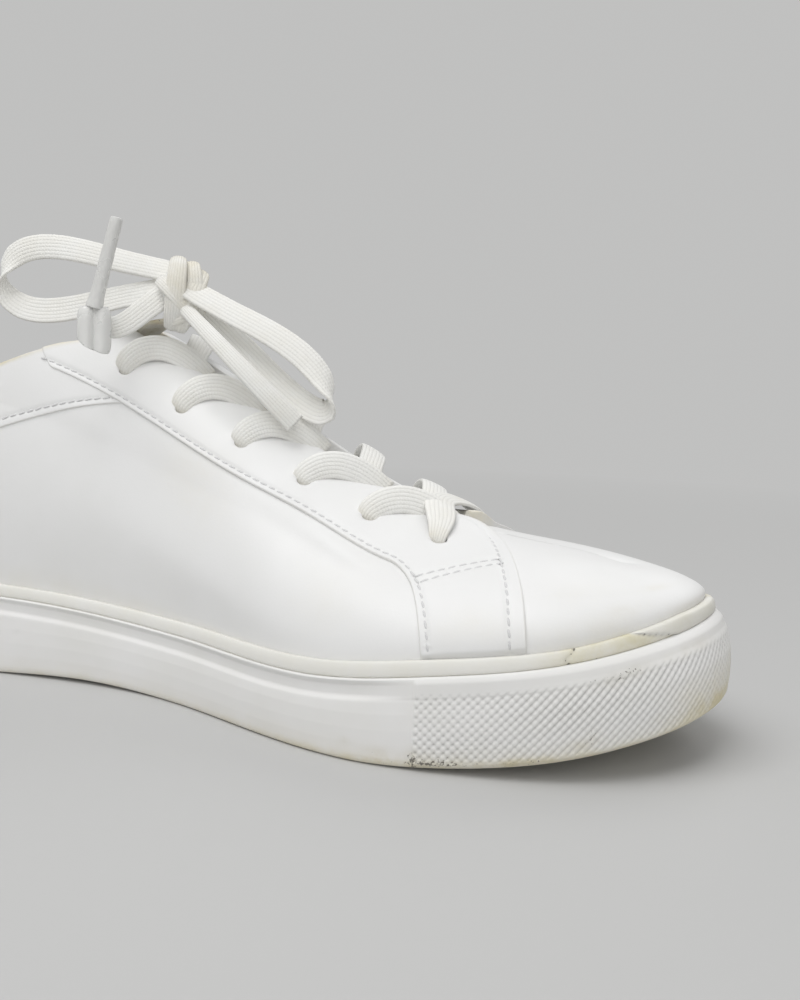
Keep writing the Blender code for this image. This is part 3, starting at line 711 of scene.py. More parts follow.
# soft waves of the worn skin: station, rise, reach along, reach up, turn, height, side
softWaves = (
    (204.0, 0.30, 13.0, 0.16, 0, 0.7, -1), (186.0, 0.44, 16.0, 0.04, 12, -0.5, -1),
    (170.0, 0.25, 26.0, 0.12, -10, 0.5, -1),
    (196.0, 0.47, 9.0, 0.03, 35, 0.5, -1), (140.0, 0.30, 30.0, 0.10, 8, -0.45, -1),
    (232.0, 0.42, 9.0, 0.14, 0, 0.45, -1),
    (150.0, 0.14, 35.0, 0.06, 0, 0.35, -1), (118.0, 0.36, 12.0, 0.06, 20, 0.4, -1),
    (260.0, 0.62, 9.0, 0.12, 0, -0.25, -1),
    (208.0, 0.35, 16.0, 0.12, 0, 0.6, 1), (180.0, 0.3, 20.0, 0.07, 15, -0.6, 1),
    (232.0, 0.5, 10.0, 0.1, 0, -0.4, 1), (130.0, 0.26, 28.0, 0.12, 0, 0.5, 1),
    (160.0, 0.42, 12.0, 0.05, 30, -0.45, 1),
)


def waveAt(turn, rise):
    station = outlineAt(turn)[0]
    inner = (np.asarray(turn) % (2 * math.pi)) <= math.pi
    total = np.zeros(np.broadcast(station, rise).shape)
    for atStation, atRise, reach, riseReach, tilt, height, side in softWaves:
        u = (station - atStation) / reach
        v = (rise - atRise) / riseReach
        a = math.radians(tilt)
        skew = v + u * math.tan(a)
        fade = inner if side < 0 else ~inner
        total = total + height * np.exp(-u * u - skew * skew) * fade
    return total * ease(rise, 0.0, 0.08)


def skinAt(turn, rise, lift=0.0):
    normal = lastNormal(turn, rise)
    return lastPoint(turn, rise) + normal * (np.asarray(lift) + waveAt(turn, rise))[..., None], normal


leatherMarks = (  # station, rise, side, reach, yellow, grime
    (267, 0.25, -1, 5.0, 0.10, 0.22), (276, 0.45, -1, 4.0, 0.16, 0.15),
    (262.0, 0.12, -1, 10.0, 0.14, 0.0),
    (247.0, 0.10, -1, 7.0, 0.10, 0.0), (255.0, 0.45, -1, 10.0, 0.06, 0.0),
    (150.0, 0.40, -1, 11.0, 0.10, 0.0),
    (196.0, 0.30, -1, 12.0, 0.05, 0.0), (232.0, 0.20, -1, 9.0, 0.07, 0.0),
    (262.0, 0.2, 1, 12.0, 0.2, 0.3), (210.0, 0.2, 1, 18.0, 0.12, 0.1),
    (20.0, 0.1, 1, 16.0, 0.2, 0.3), (20.0, 0.1, -1, 16.0, 0.2, 0.3), (283.0, 0.1, -1, 8.0, 0.18, 0.25),
)


def leatherFields(turn, rise):
    station = outlineAt(turn)[0]
    inner = (np.asarray(turn) % (2 * math.pi)) <= math.pi
    yellow = np.zeros(np.broadcast(station, rise).shape)
    grime = np.zeros_like(yellow)
    for atStation, atRise, side, reach, addYellow, addGrime in leatherMarks:
        gap = ((station - atStation) / reach) ** 2 + ((rise - atRise) * 90 / reach) ** 2
        spot = np.exp(-gap) * (inner if side < 0 else ~inner)
        yellow = yellow + addYellow * spot
        grime = grime + addGrime * spot
    yellow = yellow + 0.10 * (1 - ease(rise, 0.0, 0.03))
    return yellow, grime


def makeUpper():
    size = upperSizes
    turns = np.linspace(0, 2 * math.pi, size["columns"] + 1)
    top = topRise(turns)
    closed = ribHead(turns)[0] >= lastSizes["throatEnd"]
    station = outlineAt(turns)[0]
    share = np.linspace(0, 1, 140) ** 1.2
    rises = top[None] * share[:, None]
    dense = lastPoint(np.broadcast_to(turns, rises.shape), rises)
    run = np.vstack([np.zeros(len(turns)),
        np.cumsum(np.linalg.norm(np.diff(dense, axis=0), axis=2), 0)])
    lip = np.where(station < 112, size["collarWall"], size["wall"])
    length = run[-1] - np.where(closed, 0, lip / 2)
    outerRise = np.stack([np.interp(np.linspace(0, length[i], size["rows"]), run[:, i],
        rises[:, i]) for i in range(len(turns))], 1)
    toEdge = run[-1][None] - np.stack([np.interp(outerRise[:, i], rises[:, i],
        run[:, i]) for i in range(len(turns))], 1)
    turnGrid = np.broadcast_to(turns, outerRise.shape)
    outer, normals = skinAt(turnGrid, outerRise)
    tuckRow = outer[:1] - np.array([0, 0, size["tuck"]])
    edgeNormal = normals[-1]
    edgeUp = unit(outer[-1] - outer[-2])
    rows = [tuckRow, outer]
    for angle in np.linspace(0, math.pi, 8)[1:-1]:
        half = np.where(closed, size["wall"] * 0.5, lip / 2)[:, None]
        rise = np.where(closed[:, None], 0, np.sin(angle) * half)
        rows.append((outer[-1] - edgeNormal * half * (1 - math.cos(angle)) + edgeUp * rise)[None])
    liningLength = np.linspace(1, 0, size["liningRows"])
    liningRise = np.stack([np.interp(length[i] * liningLength, run[:, i],
        rises[:, i]) for i in range(len(turns))], 1)
    liningGrid = np.broadcast_to(turns, liningRise.shape)
    liningBase, liningNormal = skinAt(liningGrid, liningRise)
    fromTop = length[None] * (1 - liningLength[:, None])
    pad = ease(fromTop, *size["padFrom"]) * (1 - ease(fromTop, *size["padTo"])) * (1 - ease(station, 84,
        106))[None]
    puff = 1 + 0.18 * np.sin(station[None] * 0.21 + fromTop * 0.4)
    thick = np.where(closed, size["wall"], lip)[None] + size["collarPad"] * pad * puff
    lining = liningBase - liningNormal * thick[..., None]
    rows.append(lining)
    rows.append(lining[-1:] - np.array([0, 0, 9.0]))
    points = np.concatenate(rows)
    count = len(points)
    faces = gridQuads(count, len(turns))
    firstLining = 1 + size["rows"] + 4
    material = np.where(np.arange(count - 1) >= firstLining, 1, 0).repeat(len(turns) - 1)
    yellow, grime = leatherFields(turnGrid, outerRise)
    collarLine = (1 - ease(station, 104, 118))[None]
    yellow = yellow + 0.55 * np.exp(-toEdge / 0.8) * collarLine
    extra = count - 1 - size["rows"]
    lipYellow = np.broadcast_to(0.75 * (1 - ease(station, 104, 118)), (extra, len(turns)))
    fields = {
        "yellow": np.concatenate([yellow[:1], yellow, lipYellow]),
        "grime": np.concatenate([grime[:1], grime, 0.25 * lipYellow]),
    }
    upper = meshPiece("upperShell", points, faces, (coatedLeather, liningCloth), fields,
        faceMaterials=material, weld=0.02)
    return upper


def panelMesh(name, points, normals, roundness, skirt, materials, fields):
    rowCount, columnCount = points.shape[:2]
    faces = gridQuads(rowCount, columnCount)
    index = np.arange(rowCount * columnCount).reshape(rowCount, columnCount)
    loop = np.concatenate([index[0, :-1], index[:-1, -1], index[-1, :0:-1], index[:0:-1, 0]])
    flat, flatNormal = points.reshape(-1, 3), normals.reshape(-1, 3)
    edge, edgeNormal = flat[loop], flatNormal[loop]
    ahead = unit(np.roll(edge, -1, 0) - np.roll(edge, 1, 0))
    away = unit(np.cross(ahead, edgeNormal))
    middle = flat.reshape(rowCount, columnCount, 3)
    inner = np.concatenate([middle[1, :-1], middle[:-1, -2], middle[-2, :0:-1], middle[:0:-1, 1]])
    if np.mean(np.sum(away * (edge - inner), 1)) < 0:
        away = -away
    allPoints, start, before = [flat], len(flat), loop
    newFaces = [faces]
    values = {key: [np.asarray(value, float).reshape(-1)] for key, value in fields.items()}
    skirtAll = np.broadcast_to(np.asarray(skirt, float), (rowCount, columnCount)).reshape(-1)[loop][:,
        None]
    for angle in (25, 50, 72, 90, 91):
        a = math.radians(min(angle, 90))
        ring = edge + away * roundness * math.sin(a) - edgeNormal * roundness * (1 - math.cos(a))
        if angle == 91:
            ring = ring - edgeNormal * skirtAll
        allPoints.append(ring)
        now = start + np.arange(len(loop))
        newFaces.append(np.stack([before, np.roll(before, -1), np.roll(now, -1), now], -1))
        for key in values:
            values[key].append(values[key][0][loop] + (0.08 if key == "yellow" else 0))
        before, start = now, start + len(loop)
    cloud = np.concatenate(allPoints)
    quads = np.concatenate(newFaces)
    firstNormal = np.cross(points[0, 1] - points[0, 0], points[1, 1] - points[0, 0])
    if np.dot(firstNormal, normals[0, 0]) < 0:
        quads[:len(faces)] = quads[:len(faces), ::-1]
    else:
        quads[len(faces):] = quads[len(faces):, ::-1]
    return meshPiece(name, cloud, quads, materials, {k: np.concatenate(v) for k, v in values.items()})


def coonsGrid(lowEdge, highEdge, backEdge, frontEdge):
    u = np.linspace(0, 1, len(lowEdge))[None, :, None]
    v = np.linspace(0, 1, len(backEdge))[:, None, None]
    corners = ((1 - u) * (1 - v) * lowEdge[0] + u * (1 - v) * lowEdge[-1]
               + (1 - u) * v * highEdge[0] + u * v * highEdge[-1])
    return (1 - v) * lowEdge[None] + v * highEdge[None] + (1 - u) * backEdge[:, None] + u * frontEdge[:,
        None] - corners


# seams of one side, as station and rise
facingSizes = {
    "columns": 340,
    "rows": 78,
    "lift": 0.95,
    "roundness": 0.42,
    # raised front corner: station, rise, lift, reach
    "corner": {-1: (218.0, 0.93, 1.3, 8.0), 1: (219.5, 0.95, 2.4, 6.5)},
    "holeRadius": 2.1,
    "holeDepth": 2.9,
    "holeFirst": 215.8,
    "holePitch": 18.8,
    "holeSide": 17.6,
    "cornerStation": 119.0,
}
facingShape = {
    "back": 97.0,
    "hem": 0.50,  # rise of the lower edge, and its low arch
    "arch": (0.05, 184.0, 22.0),
    # where the lower edge turns down, and where it ends
    "turn": {-1: (206.0, 222.0), 1: (192.0, 208.0)},
    # where the front edge leaves the throat, and where it ends
    "front": {-1: (218.0, 244.0), 1: (217.0, 228.0)},
    "top": 0.97,
    "seamIn": 1.3,
    "frontSeamIn": 3.2,
    "riseScale": 80.0,
    # a double seam joins the two edges: its place down each turn, and its spacing
    "strap": (0.35, 0.55, 2.6),
}
collarShape = {"low": 0.205, "gain": 0.325, "flatTo": 40.0, "end": 125.0, "power": 2.2}


def quarterTurn(low, high, rise, count=40):  # a quarter ellipse from high on the shoe down to the strip
    angle = np.linspace(0, math.pi / 2, count)
    return np.stack([low + (high - low) * np.sin(angle), rise * np.cos(angle)], 1)


def facingHem(side):
    height, middle, reach = facingShape["arch"]
    start, end = facingShape["turn"][side]
    stations = np.linspace(facingShape["back"], start, 80)
    rises = facingShape["hem"] + height * np.exp(-((stations - middle) / reach) ** 2)
    return np.concatenate([np.stack([stations, rises], 1), quarterTurn(start, end, rises[-1])[1:]])


def facingNose(side):
    return quarterTurn(*facingShape["front"][side], facingShape["top"])


def seamInside(edge, inset):  # the edge moved sideways over the skin
    scale = np.array([1.0, facingShape["riseScale"]])
    flat = edge * scale
    ahead = unit(np.gradient(flat, axis=0))
    moved = (flat + inset * np.stack([-ahead[:, 1], ahead[:, 0]], 1)) / scale
    return moved[moved[:, 1] > 0.02]


def seamLines(side):
    hem = seamInside(facingHem(side), facingShape["seamIn"])
    nose = seamInside(facingNose(side), -facingShape["frontSeamIn"])
    downHem, downNose, spacing = facingShape["strap"]
    turning = hem[hem[:, 0] > facingShape["turn"][side][0]]
    start = turning[int(downHem * (len(turning) - 1))]
    end = nose[int(downNose * (len(nose) - 1))]
    strap = np.linspace(start, end, 12)
    return [hem, nose, strap, seamInside(strap, -spacing)]


def collarSeam():
    shape = collarShape
    stations = np.linspace(shape["end"], 0, 60)
    share = np.clip((stations - shape["flatTo"]) / (shape["end"] - shape["flatTo"]), 0, 1)
    return np.stack([stations, shape["low"] + shape["gain"] * share ** shape["power"]], 1)


def seamOnSkin(line, side, lift):
    chart = smoothLine(line, 500)
    turn = turnAt(chart[:, 0], side)
    return skinAt(turn, chart[:, 1], lift)


def freeEdge(stations, side):
    turn = turnAt(stations, side)
    return np.stack([stations, topRise(turn)], 1)


def makeFacing(side):
    size = facingSizes
    hem = facingHem(side)
    low = np.concatenate([freeEdge(hem[:1, 0], side), hem[hem[:, 0] > facingShape["back"] + 3]])
    lowEdge = smoothLine(low, 900)
    throat = freeEdge(np.linspace(size["cornerStation"], 214.6, 200), side)
    high = np.concatenate([throat, smoothLine(np.concatenate([throat[-1:], facingNose(side)[2:]]),
        300)[1:]])
    scale = np.array([1.0, 80.0])

    def spread(line, count):
        return evenly(line * scale, 0.05)[np.linspace(0, len(evenly(line * scale, 0.05)) - 1,
            count).astype(int)] / scale

    lowEdge, highEdge = spread(lowEdge, size["columns"]), spread(high, size["columns"])
    backEdge = spread(freeEdge(np.linspace(low[0, 0], size["cornerStation"], 120), side), size["rows"])
    frontEdge = np.stack([np.linspace(low[-1, 0], facingShape["front"][side][1], size["rows"]),
        np.zeros(size["rows"])], 1)
    chart = coonsGrid(lowEdge, highEdge, backEdge, frontEdge)
    turn, rise = turnAt(chart[..., 0], side), np.clip(chart[..., 1], 0, 1)
    atStation, atRise, more, reach = size["corner"][side]
    gap = ((chart[..., 0] - atStation) / reach) ** 2 + ((rise - atRise) * 75 / reach) ** 2
    lift = (size["lift"] + more * np.exp(-gap)) * (0.25 + 0.75 * ease(rise, 0.02, 0.07))
    bare, normals = skinAt(turn, rise, 0.0)
    for line in seamLines(side):
        seam = seamOnSkin(line, side, 0.0)[0]
        far = nearestGap(bare, seam)
        lift = lift - 0.26 * np.exp(-(far / 0.75) ** 2)
    points = bare + normals * lift[..., None]
    skirt = np.full(chart.shape[:2], 1.3)
    skirt[-1] = np.where(chart[-1, :, 0] < 216, 3.0, 1.3 + more)  # the throat's edge covers the wall
    skirt[-6:, :] = np.maximum(skirt[-6:, :], 1.3 + more * np.exp(-gap[-6:, :]))
    skirt[:, 0] = 2.0
    yellow, grime = leatherFields(turn, rise)
    edgeTint = np.zeros_like(yellow)
    edgeTint[:, :3] = (0.5, 0.25, 0.1)
    cornerTint = np.exp(-gap) * (0.45 if side > 0 else 0.12)
    edgeTint[-3:, :] = np.maximum(edgeTint[-3:, :], cornerTint[-3:, :])
    name = "facingInner" if side < 0 else "facingOuter"
    panel = panelMesh(name, points, normals, size["roundness"], skirt, (coatedLeather,),
        {"yellow": yellow + edgeTint, "grime": grime})
    return panel


def holePlaces(side):
    size = facingSizes
    along = size["holeFirst"] - size["holePitch"] * np.arange(6)
    turn, rise = chartAt(along, np.full(6, side * size["holeSide"], float))
    return skinAt(turn, rise, size["lift"])


def punchHoles(piece, side, radius, depth):
    work = bmesh.new()
    work.from_mesh(piece.data)
    for centre, normal in zip(*holePlaces(side)):
        centre = Vector(inMetres(centre)[0])
        normal = Vector(normal)
        radiusMetres = radius * mm
        near = [f for f in work.faces if (f.calc_center_median() - centre).length < radiusMetres + 3 * mm]
        gone = []
        for face in near:
            offset = face.calc_center_median() - centre
            if (offset - normal * offset.dot(normal)).length < radiusMetres:
                gone.append(face)
        if not gone:
            continue
        goneVerts = list(dict.fromkeys(v for f in gone for v in f.verts))
        bmesh.ops.delete(work, geom=gone, context="FACES")
        rimEdges = [e for v in goneVerts if v.is_valid for e in v.link_edges if len(e.link_faces) == 1]
        rimEdges = list(dict.fromkeys(rimEdges))
        for vertex in {v for e in rimEdges for v in e.verts}:
            flat = vertex.co - centre
            up = flat.dot(normal)
            flat = flat - normal * up
            vertex.co = centre + flat.normalized() * radiusMetres + normal * (up - 0.12 * mm)
        if depth:
            for step, narrow in ((0.35, 0.93), (depth, 0.9)):
                made = bmesh.ops.extrude_edge_only(work, edges=rimEdges)["geom"]
                rimEdges = [g for g in made if isinstance(g, bmesh.types.BMEdge)]
                for vertex in {g for g in made if isinstance(g, bmesh.types.BMVert)}:
                    flat = vertex.co - centre
                    flat = flat - normal * flat.dot(normal)
                    vertex.co = centre + flat.normalized() * radiusMetres * narrow - normal * (step * mm)
    work.to_mesh(piece.data)
    work.free()


def makeCollarPanel():
    size = {"columns": 520, "rows": 60, "lift": 0.45, "roundness": 0.3, "below": 1.6}
    seam = smoothLine(collarSeam(), 400)[::-1]  # from the heel forward
    w = np.linspace(-1, 1, size["columns"])
    lowStation = 125.0 * np.abs(w) ** 1.25
    lowRise = np.interp(lowStation, seam[:, 0], seam[:, 1]) - size["below"] / 85
    highStation = 104.5 * np.abs(w) ** 1.25
    lowTurn = np.where(w < 0, 2 * math.pi - swing(lowStation), swing(lowStation))
    highTurn = np.where(w < 0, 2 * math.pi - swing(highStation), swing(highStation))
    lowTurn = np.where(w < 0, lowTurn - 2 * math.pi, lowTurn)
    highTurn = np.where(w < 0, highTurn - 2 * math.pi, highTurn)
    highRise = topRise(highTurn)
    v = np.linspace(0, 1, size["rows"])[:, None]
    turn = lowTurn * (1 - v) + highTurn * v
    rise = lowRise * (1 - v) + highRise * v
    rise = np.minimum(rise, topRise(turn.ravel()).reshape(turn.shape))
    lift = np.full(turn.shape, size["lift"])
    bare, normals = skinAt(turn, rise)
    for side in (-1, 1):
        seamPoints = seamOnSkin(collarSeam(), side, 0.0)[0]
        lift = lift - 0.22 * np.exp(-(nearestGap(bare, seamPoints) / 0.75) ** 2)
    points = bare + normals * lift[..., None]
    skirt = np.full(turn.shape, 0.8)
    skirt[-1] = 1.7
    yellow, grime = leatherFields(turn, rise)
    tint = np.zeros_like(yellow)
    tint[-4:] = np.array([0.12, 0.3, 0.55, 0.75])[:, None]
    return panelMesh("collarPanel", points, normals, size["roundness"], skirt, (coatedLeather,),
        {"yellow": yellow + tint, "grime": grime})


backstaySizes = {"columns": 46, "rows": 130, "halfWidth": (15.0, 9.0), "lift": 1.25, "roundness": 0.4,
    "seamIn": 1.8}


def backstayChart(side):
    size = backstaySizes
    top = float(topRise(np.array([0.0]))[0]) * 0.965
    v = np.linspace(0, 1, size["rows"])
    half = size["halfWidth"][0] + (size["halfWidth"][1] - size["halfWidth"][0]) * v
    return v * top, half, side


def makeBackstay():
    size = backstaySizes
    rises, half, _ = backstayChart(1)
    w = np.linspace(-1, 1, size["columns"])
    width = np.empty((size["rows"], size["columns"]))
    # turn per millimetre at the heel differs with height, so it is measured on each row
    probe = np.linspace(0, 0.9, 60)
    for row, rise in enumerate(rises):
        line = lastPoint(probe, np.full(60, rise))
        run = np.concatenate([[0], np.cumsum(np.linalg.norm(np.diff(line, axis=0), axis=1))])
        width[row] = np.sign(w) * np.interp(np.abs(w) * half[row], run, probe)
    riseGrid = np.broadcast_to(rises[:, None], width.shape)
    lift = size["lift"] * (0.3 + 0.7 * ease(riseGrid, 0.0, 0.03))
    for inset in (size["seamIn"], size["seamIn"] + 2.4):
        far = np.abs(np.abs(w)[None] * half[:, None] - (half[:, None] - inset))
        lift = lift - 0.24 * np.exp(-(far / 0.75) ** 2)
    bare, normals = skinAt(width, riseGrid)
    yellow, grime = leatherFields(width, riseGrid)
    stay = panelMesh("heelStay", bare + normals * lift[..., None], normals, size["roundness"], 1.6,
        (coatedLeather,), {"yellow": yellow, "grime": grime})
    lines = []
    for sign in (-1, 1):
        for inset in (size["seamIn"], size["seamIn"] + 2.4):
            line, lineNormal = [], []
            for row in range(2, size["rows"] - 2):
                at = sign * (half[row] - inset) / half[row]
                column = (at + 1) / 2 * (size["columns"] - 1)
                i = int(column)
                t = column - i
                line.append((bare[row, i] * (1 - t) + bare[row, i + 1] * t) + normals[row,
                    i] * (size["lift"] - 0.24))
                lineNormal.append(normals[row, i])
            lines.append((np.array(line), np.array(lineNormal)))
    return stay, lines


stitchSizes = {"pitch": 2.6, "long": 2.15, "wide": 0.62, "thick": 0.34, "slant": 7.0}


def stitchRow(line, normals, bag):
    size = stitchSizes
    run = np.concatenate([[0], np.cumsum(np.linalg.norm(np.diff(line, axis=0), axis=1))])
    count = int(run[-1] / size["pitch"])
    around, rings = 8, np.radians([-80, -50, -20, 20, 50, 80])
    for k in range(count):
        at = (k + 0.5) * size["pitch"] + random.uniform(-0.08, 0.08)
        here = np.array([np.interp(at, run, line[:, a]) for a in range(3)])
        ahead = np.array([np.interp(at + 0.6, run,
            line[:, a]) for a in range(3)]) - np.array([np.interp(at - 0.6, run,
            line[:, a]) for a in range(3)])
        normal = np.array([np.interp(at, run, normals[:, a]) for a in range(3)])
        ahead = ahead / np.linalg.norm(ahead)
        normal = normal - ahead * normal.dot(ahead)
        normal /= np.linalg.norm(normal)
        aside = np.cross(normal, ahead)
        slant = math.radians(size["slant"] + random.uniform(-2, 2))
        ahead, aside = (ahead * math.cos(slant) + aside * math.sin(slant),
                        aside * math.cos(slant) - ahead * math.sin(slant))
        length = size["long"] * random.uniform(0.94, 1.04)
        start = len(bag["points"])
        for ring in rings:
            x = math.sin(ring) * length / 2
            body = math.cos(ring) ** 0.45
            for j in range(around):
                a = 2 * math.pi * j / around
                y, z = math.cos(a) * size["wide"] / 2 * body, math.sin(a) * size["thick"] / 2 * body
                bag["points"].append(
                    here + ahead * x + aside * y + normal * (z + 0.02 - 0.16 * (2 * x / length) ** 4))
        for r in range(len(rings) - 1):
            for j in range(around):
                a, b = start + r * around + j, start + r * around + (j + 1) % around
                bag["faces"].append((a, b, b + around, a + around))
        bag["faces"].append(tuple(start + j for j in range(around))[::-1])
        bag["faces"].append(tuple(start + (len(rings) - 1) * around + j for j in range(around)))


def bagPiece(name, bag, materials):
    return meshPiece(name, np.array(bag["points"]), [list(f) for f in bag["faces"]], materials)


upperShell = makeUpper()
for side in (-1, 1):
    punchHoles(upperShell, side, facingSizes["holeRadius"] + 0.5, 0)
addPiece(upperShell, "upper", "upper")
facings = []
for side in (-1, 1):
    facing = makeFacing(side)
    punchHoles(facing, side, facingSizes["holeRadius"], facingSizes["holeDepth"])
    facings.append(addPiece(facing, "upper"))
addPiece(makeCollarPanel(), "upper")
heelStay, heelLines = makeBackstay()
addPiece(heelStay, "upper")
for label, side in (("Inner", -1), ("Outer", 1)):
    stitches = {"points": [], "faces": []}
    for line in seamLines(side):
        stitchRow(*seamOnSkin(line, side, facingSizes["lift"] - 0.24), stitches)
    stitchRow(*seamOnSkin(collarSeam(), side, 0.33), stitches)
    if side < 0:
        for line, normals in heelLines:
            stitchRow(line, normals, stitches)
    addPiece(bagPiece("stitching" + label, stitches, (seamThread,)), "upper")
print("upper, facings and stitching made")

# the cup sole

cupSizes = {
    "rowStep": 0.25,
    "rowCount": 71,
    "cellColumns": 8,  # mesh columns in one cell of the knurl
    "rearColumns": 125,
    "ridgeBelow": 4.8,
    "panelFrom": 220.5,  # the knurled toe panel starts here on both sides
    "panelOut": 0.25,
    "knurlPitch": 2.05,
    "knurlRise": 2.0,
    "knurlHeight": 0.55,
    "knurlFoot": (1.3, 2.2),
    "knurlTop": (3.2, 2.4),  # distance of its end below the rim, and the fade
    # staggered pits before the first station are slanting ribs after the second
    "knurlTurn": (228.0, 258.0),
    "treadGrooves": (20, 32, 44, 56, 68, 150, 163, 176, 189, 202, 215, 228),
    "treadWidth": 2.2,
    "treadDepth": 1.6,
}

rubberMarks = (  # station, height over the sole's bottom, side, reach along, reach up, yellow, grime
    (224.5, 2.2, -1, 4.5, 1.5, 0.2, 1.05), (231.0, 1.9, -1, 6.0, 1.0, 0.2, 0.72),
    (241.0, 1.4, -1, 8.0, 0.8, 0.2, 0.45),
    (221.0, 2.6, -1, 1.0, 2.2, 0.2, 0.9), (258.5, 5.6, -1, 1.6, 1.7, 0.1, 1.0),
    (256.5, 3.8, -1, 2.6, 1.2, 0.2, 0.62), (270.5, 5.6, -1, 1.1, 0.9, 0.1, 0.75),
    (262.5, 16.6, -1, 4.2, 1.6, 0.1, 0.70), (266.5, 17.4, -1, 2.6, 1.2, 0.1, 0.62),
    (258.0, 17.0, -1, 3.0, 1.0, 0.0, 0.35), (239.0, 15.5, -1, 1.0, 0.5, 0.0, 0.55),
    (247.0, 2.0, -1, 5.0, 1.0, 0.3, 0.5), (276.5, 17.8, -1, 5.0, 1.5, 0.2, 0.40),
    (281.0, 3.0, -1, 6.0, 2.0, 0.3, 0.3),
    (205.0, 5.0, -1, 1.2, 0.9, 0.1, 0.35), (213.0, 3.0, -1, 3.0, 1.5, 0.2, 0.4),
    (96.0, 12.5, -1, 1.2, 0.8, 0.0, 0.5), (215.0, 1.2, -1, 6.0, 1.0, 0.4, 0.3),
    (250.0, 3.0, 1, 9.0, 1.6, 0.3, 0.8), (232.0, 2.4, 1, 6.0, 1.4, 0.2, 0.9),
    (266.0, 6.0, 1, 3.0, 2.0, 0.1, 0.7), (180.0, 3.0, 1, 16.0, 1.5, 0.3, 0.5),
    (60.0, 3.0, 1, 20.0, 1.8, 0.3, 0.55), (14.0, 4.0, 1, 9.0, 2.5, 0.3, 0.7),
    (20.0, 3.0, -1, 12.0, 2.0, 0.3, 0.6), (120.0, 8.0, 1, 3.0, 1.0, 0.0, 0.5),
)


def rubberFields(station, above, inner):
    yellow = 0.62 * (1 - ease(above, 0.2, 3.0)) + 0.16 * (1 - ease(above, 2.0, 7.0))
    yellow = yellow + 0.50 * ease(station, 268, 283) * (1 - ease(above, 5.0, 15.0))
    yellow = yellow * (0.55 + 0.45 * ease(station, 150, 225))
    grime = 0.22 * (1 - ease(above, 0.3, 2.2)) * ease(station, 200, 222)
    for atStation, atAbove, side, reach, reachUp, addYellow, addGrime in rubberMarks:
        reached = np.exp(-((station - atStation) / reach) ** 2 - ((above - atAbove) / reachUp) ** 2)
        spot = reached * (inner if side < 0 else ~inner)
        yellow = yellow + addYellow * spot
        grime = grime + addGrime * spot
    return np.clip(yellow, 0, 1), grime


# how far the cup's wall lies inside the sole's edge, at a height over its bottom
def wallInset(station, above):
    wall = wallUpAt(station)
    rake = rakeAt(station)
    start, end = soleSizes["channelEnd"]
    channel = soleSizes["channel"] * np.clip((end - station) / (end - start), 0, 1)
    ridge = cupSizes["ridgeBelow"]
    heights = (0 * wall, 0.18 + 0 * wall, 0.5 + 0 * wall, 1.1 + 0 * wall, 2.0 + 0 * wall, 0.25 * wall,
        0.42 * wall, 0.6 * wall, wall - ridge - 0.5,
               wall - ridge, wall - ridge + 0.35, wall - ridge + 0.9, wall - 3.0, wall - 1.5,
               wall - 0.9, wall - 0.4, wall - 0.1, wall)
    insets = (1.4 + 0.3 * rake, 0.9 + 0.25 * rake, 0.45 + 0.2 * rake, 0.18 + 0.15 * rake,
        0.02 + 0.1 * rake, -0.2 + 0.08 * rake, -0.3 + 0.1 * rake, -0.22 + 0.16 * rake,
        0.02 + 0.28 * rake,
              0.12 + 0.3 * rake, 0.45 * channel / 0.9 + 0.34 * rake, 0.9 * channel / 0.9 + 0.4 * rake,
              channel + 0.55 * rake, channel + 0.72 * rake, 0.45 * channel + 0.05 + 0.83 * rake,
              0.16 + 0.92 * rake, 0.3 + 0.98 * rake, 0.7 + rake)
    total = np.zeros(np.broadcast(station, above).shape)
    for k in range(len(heights) - 1):
        low, high = heights[k], heights[k + 1]
        t = np.clip((above - low) / np.maximum(high - low, 1e-6), 0, 1)
        total = total + (insets[k + 1] - insets[k]) * t
    return insets[0] + total


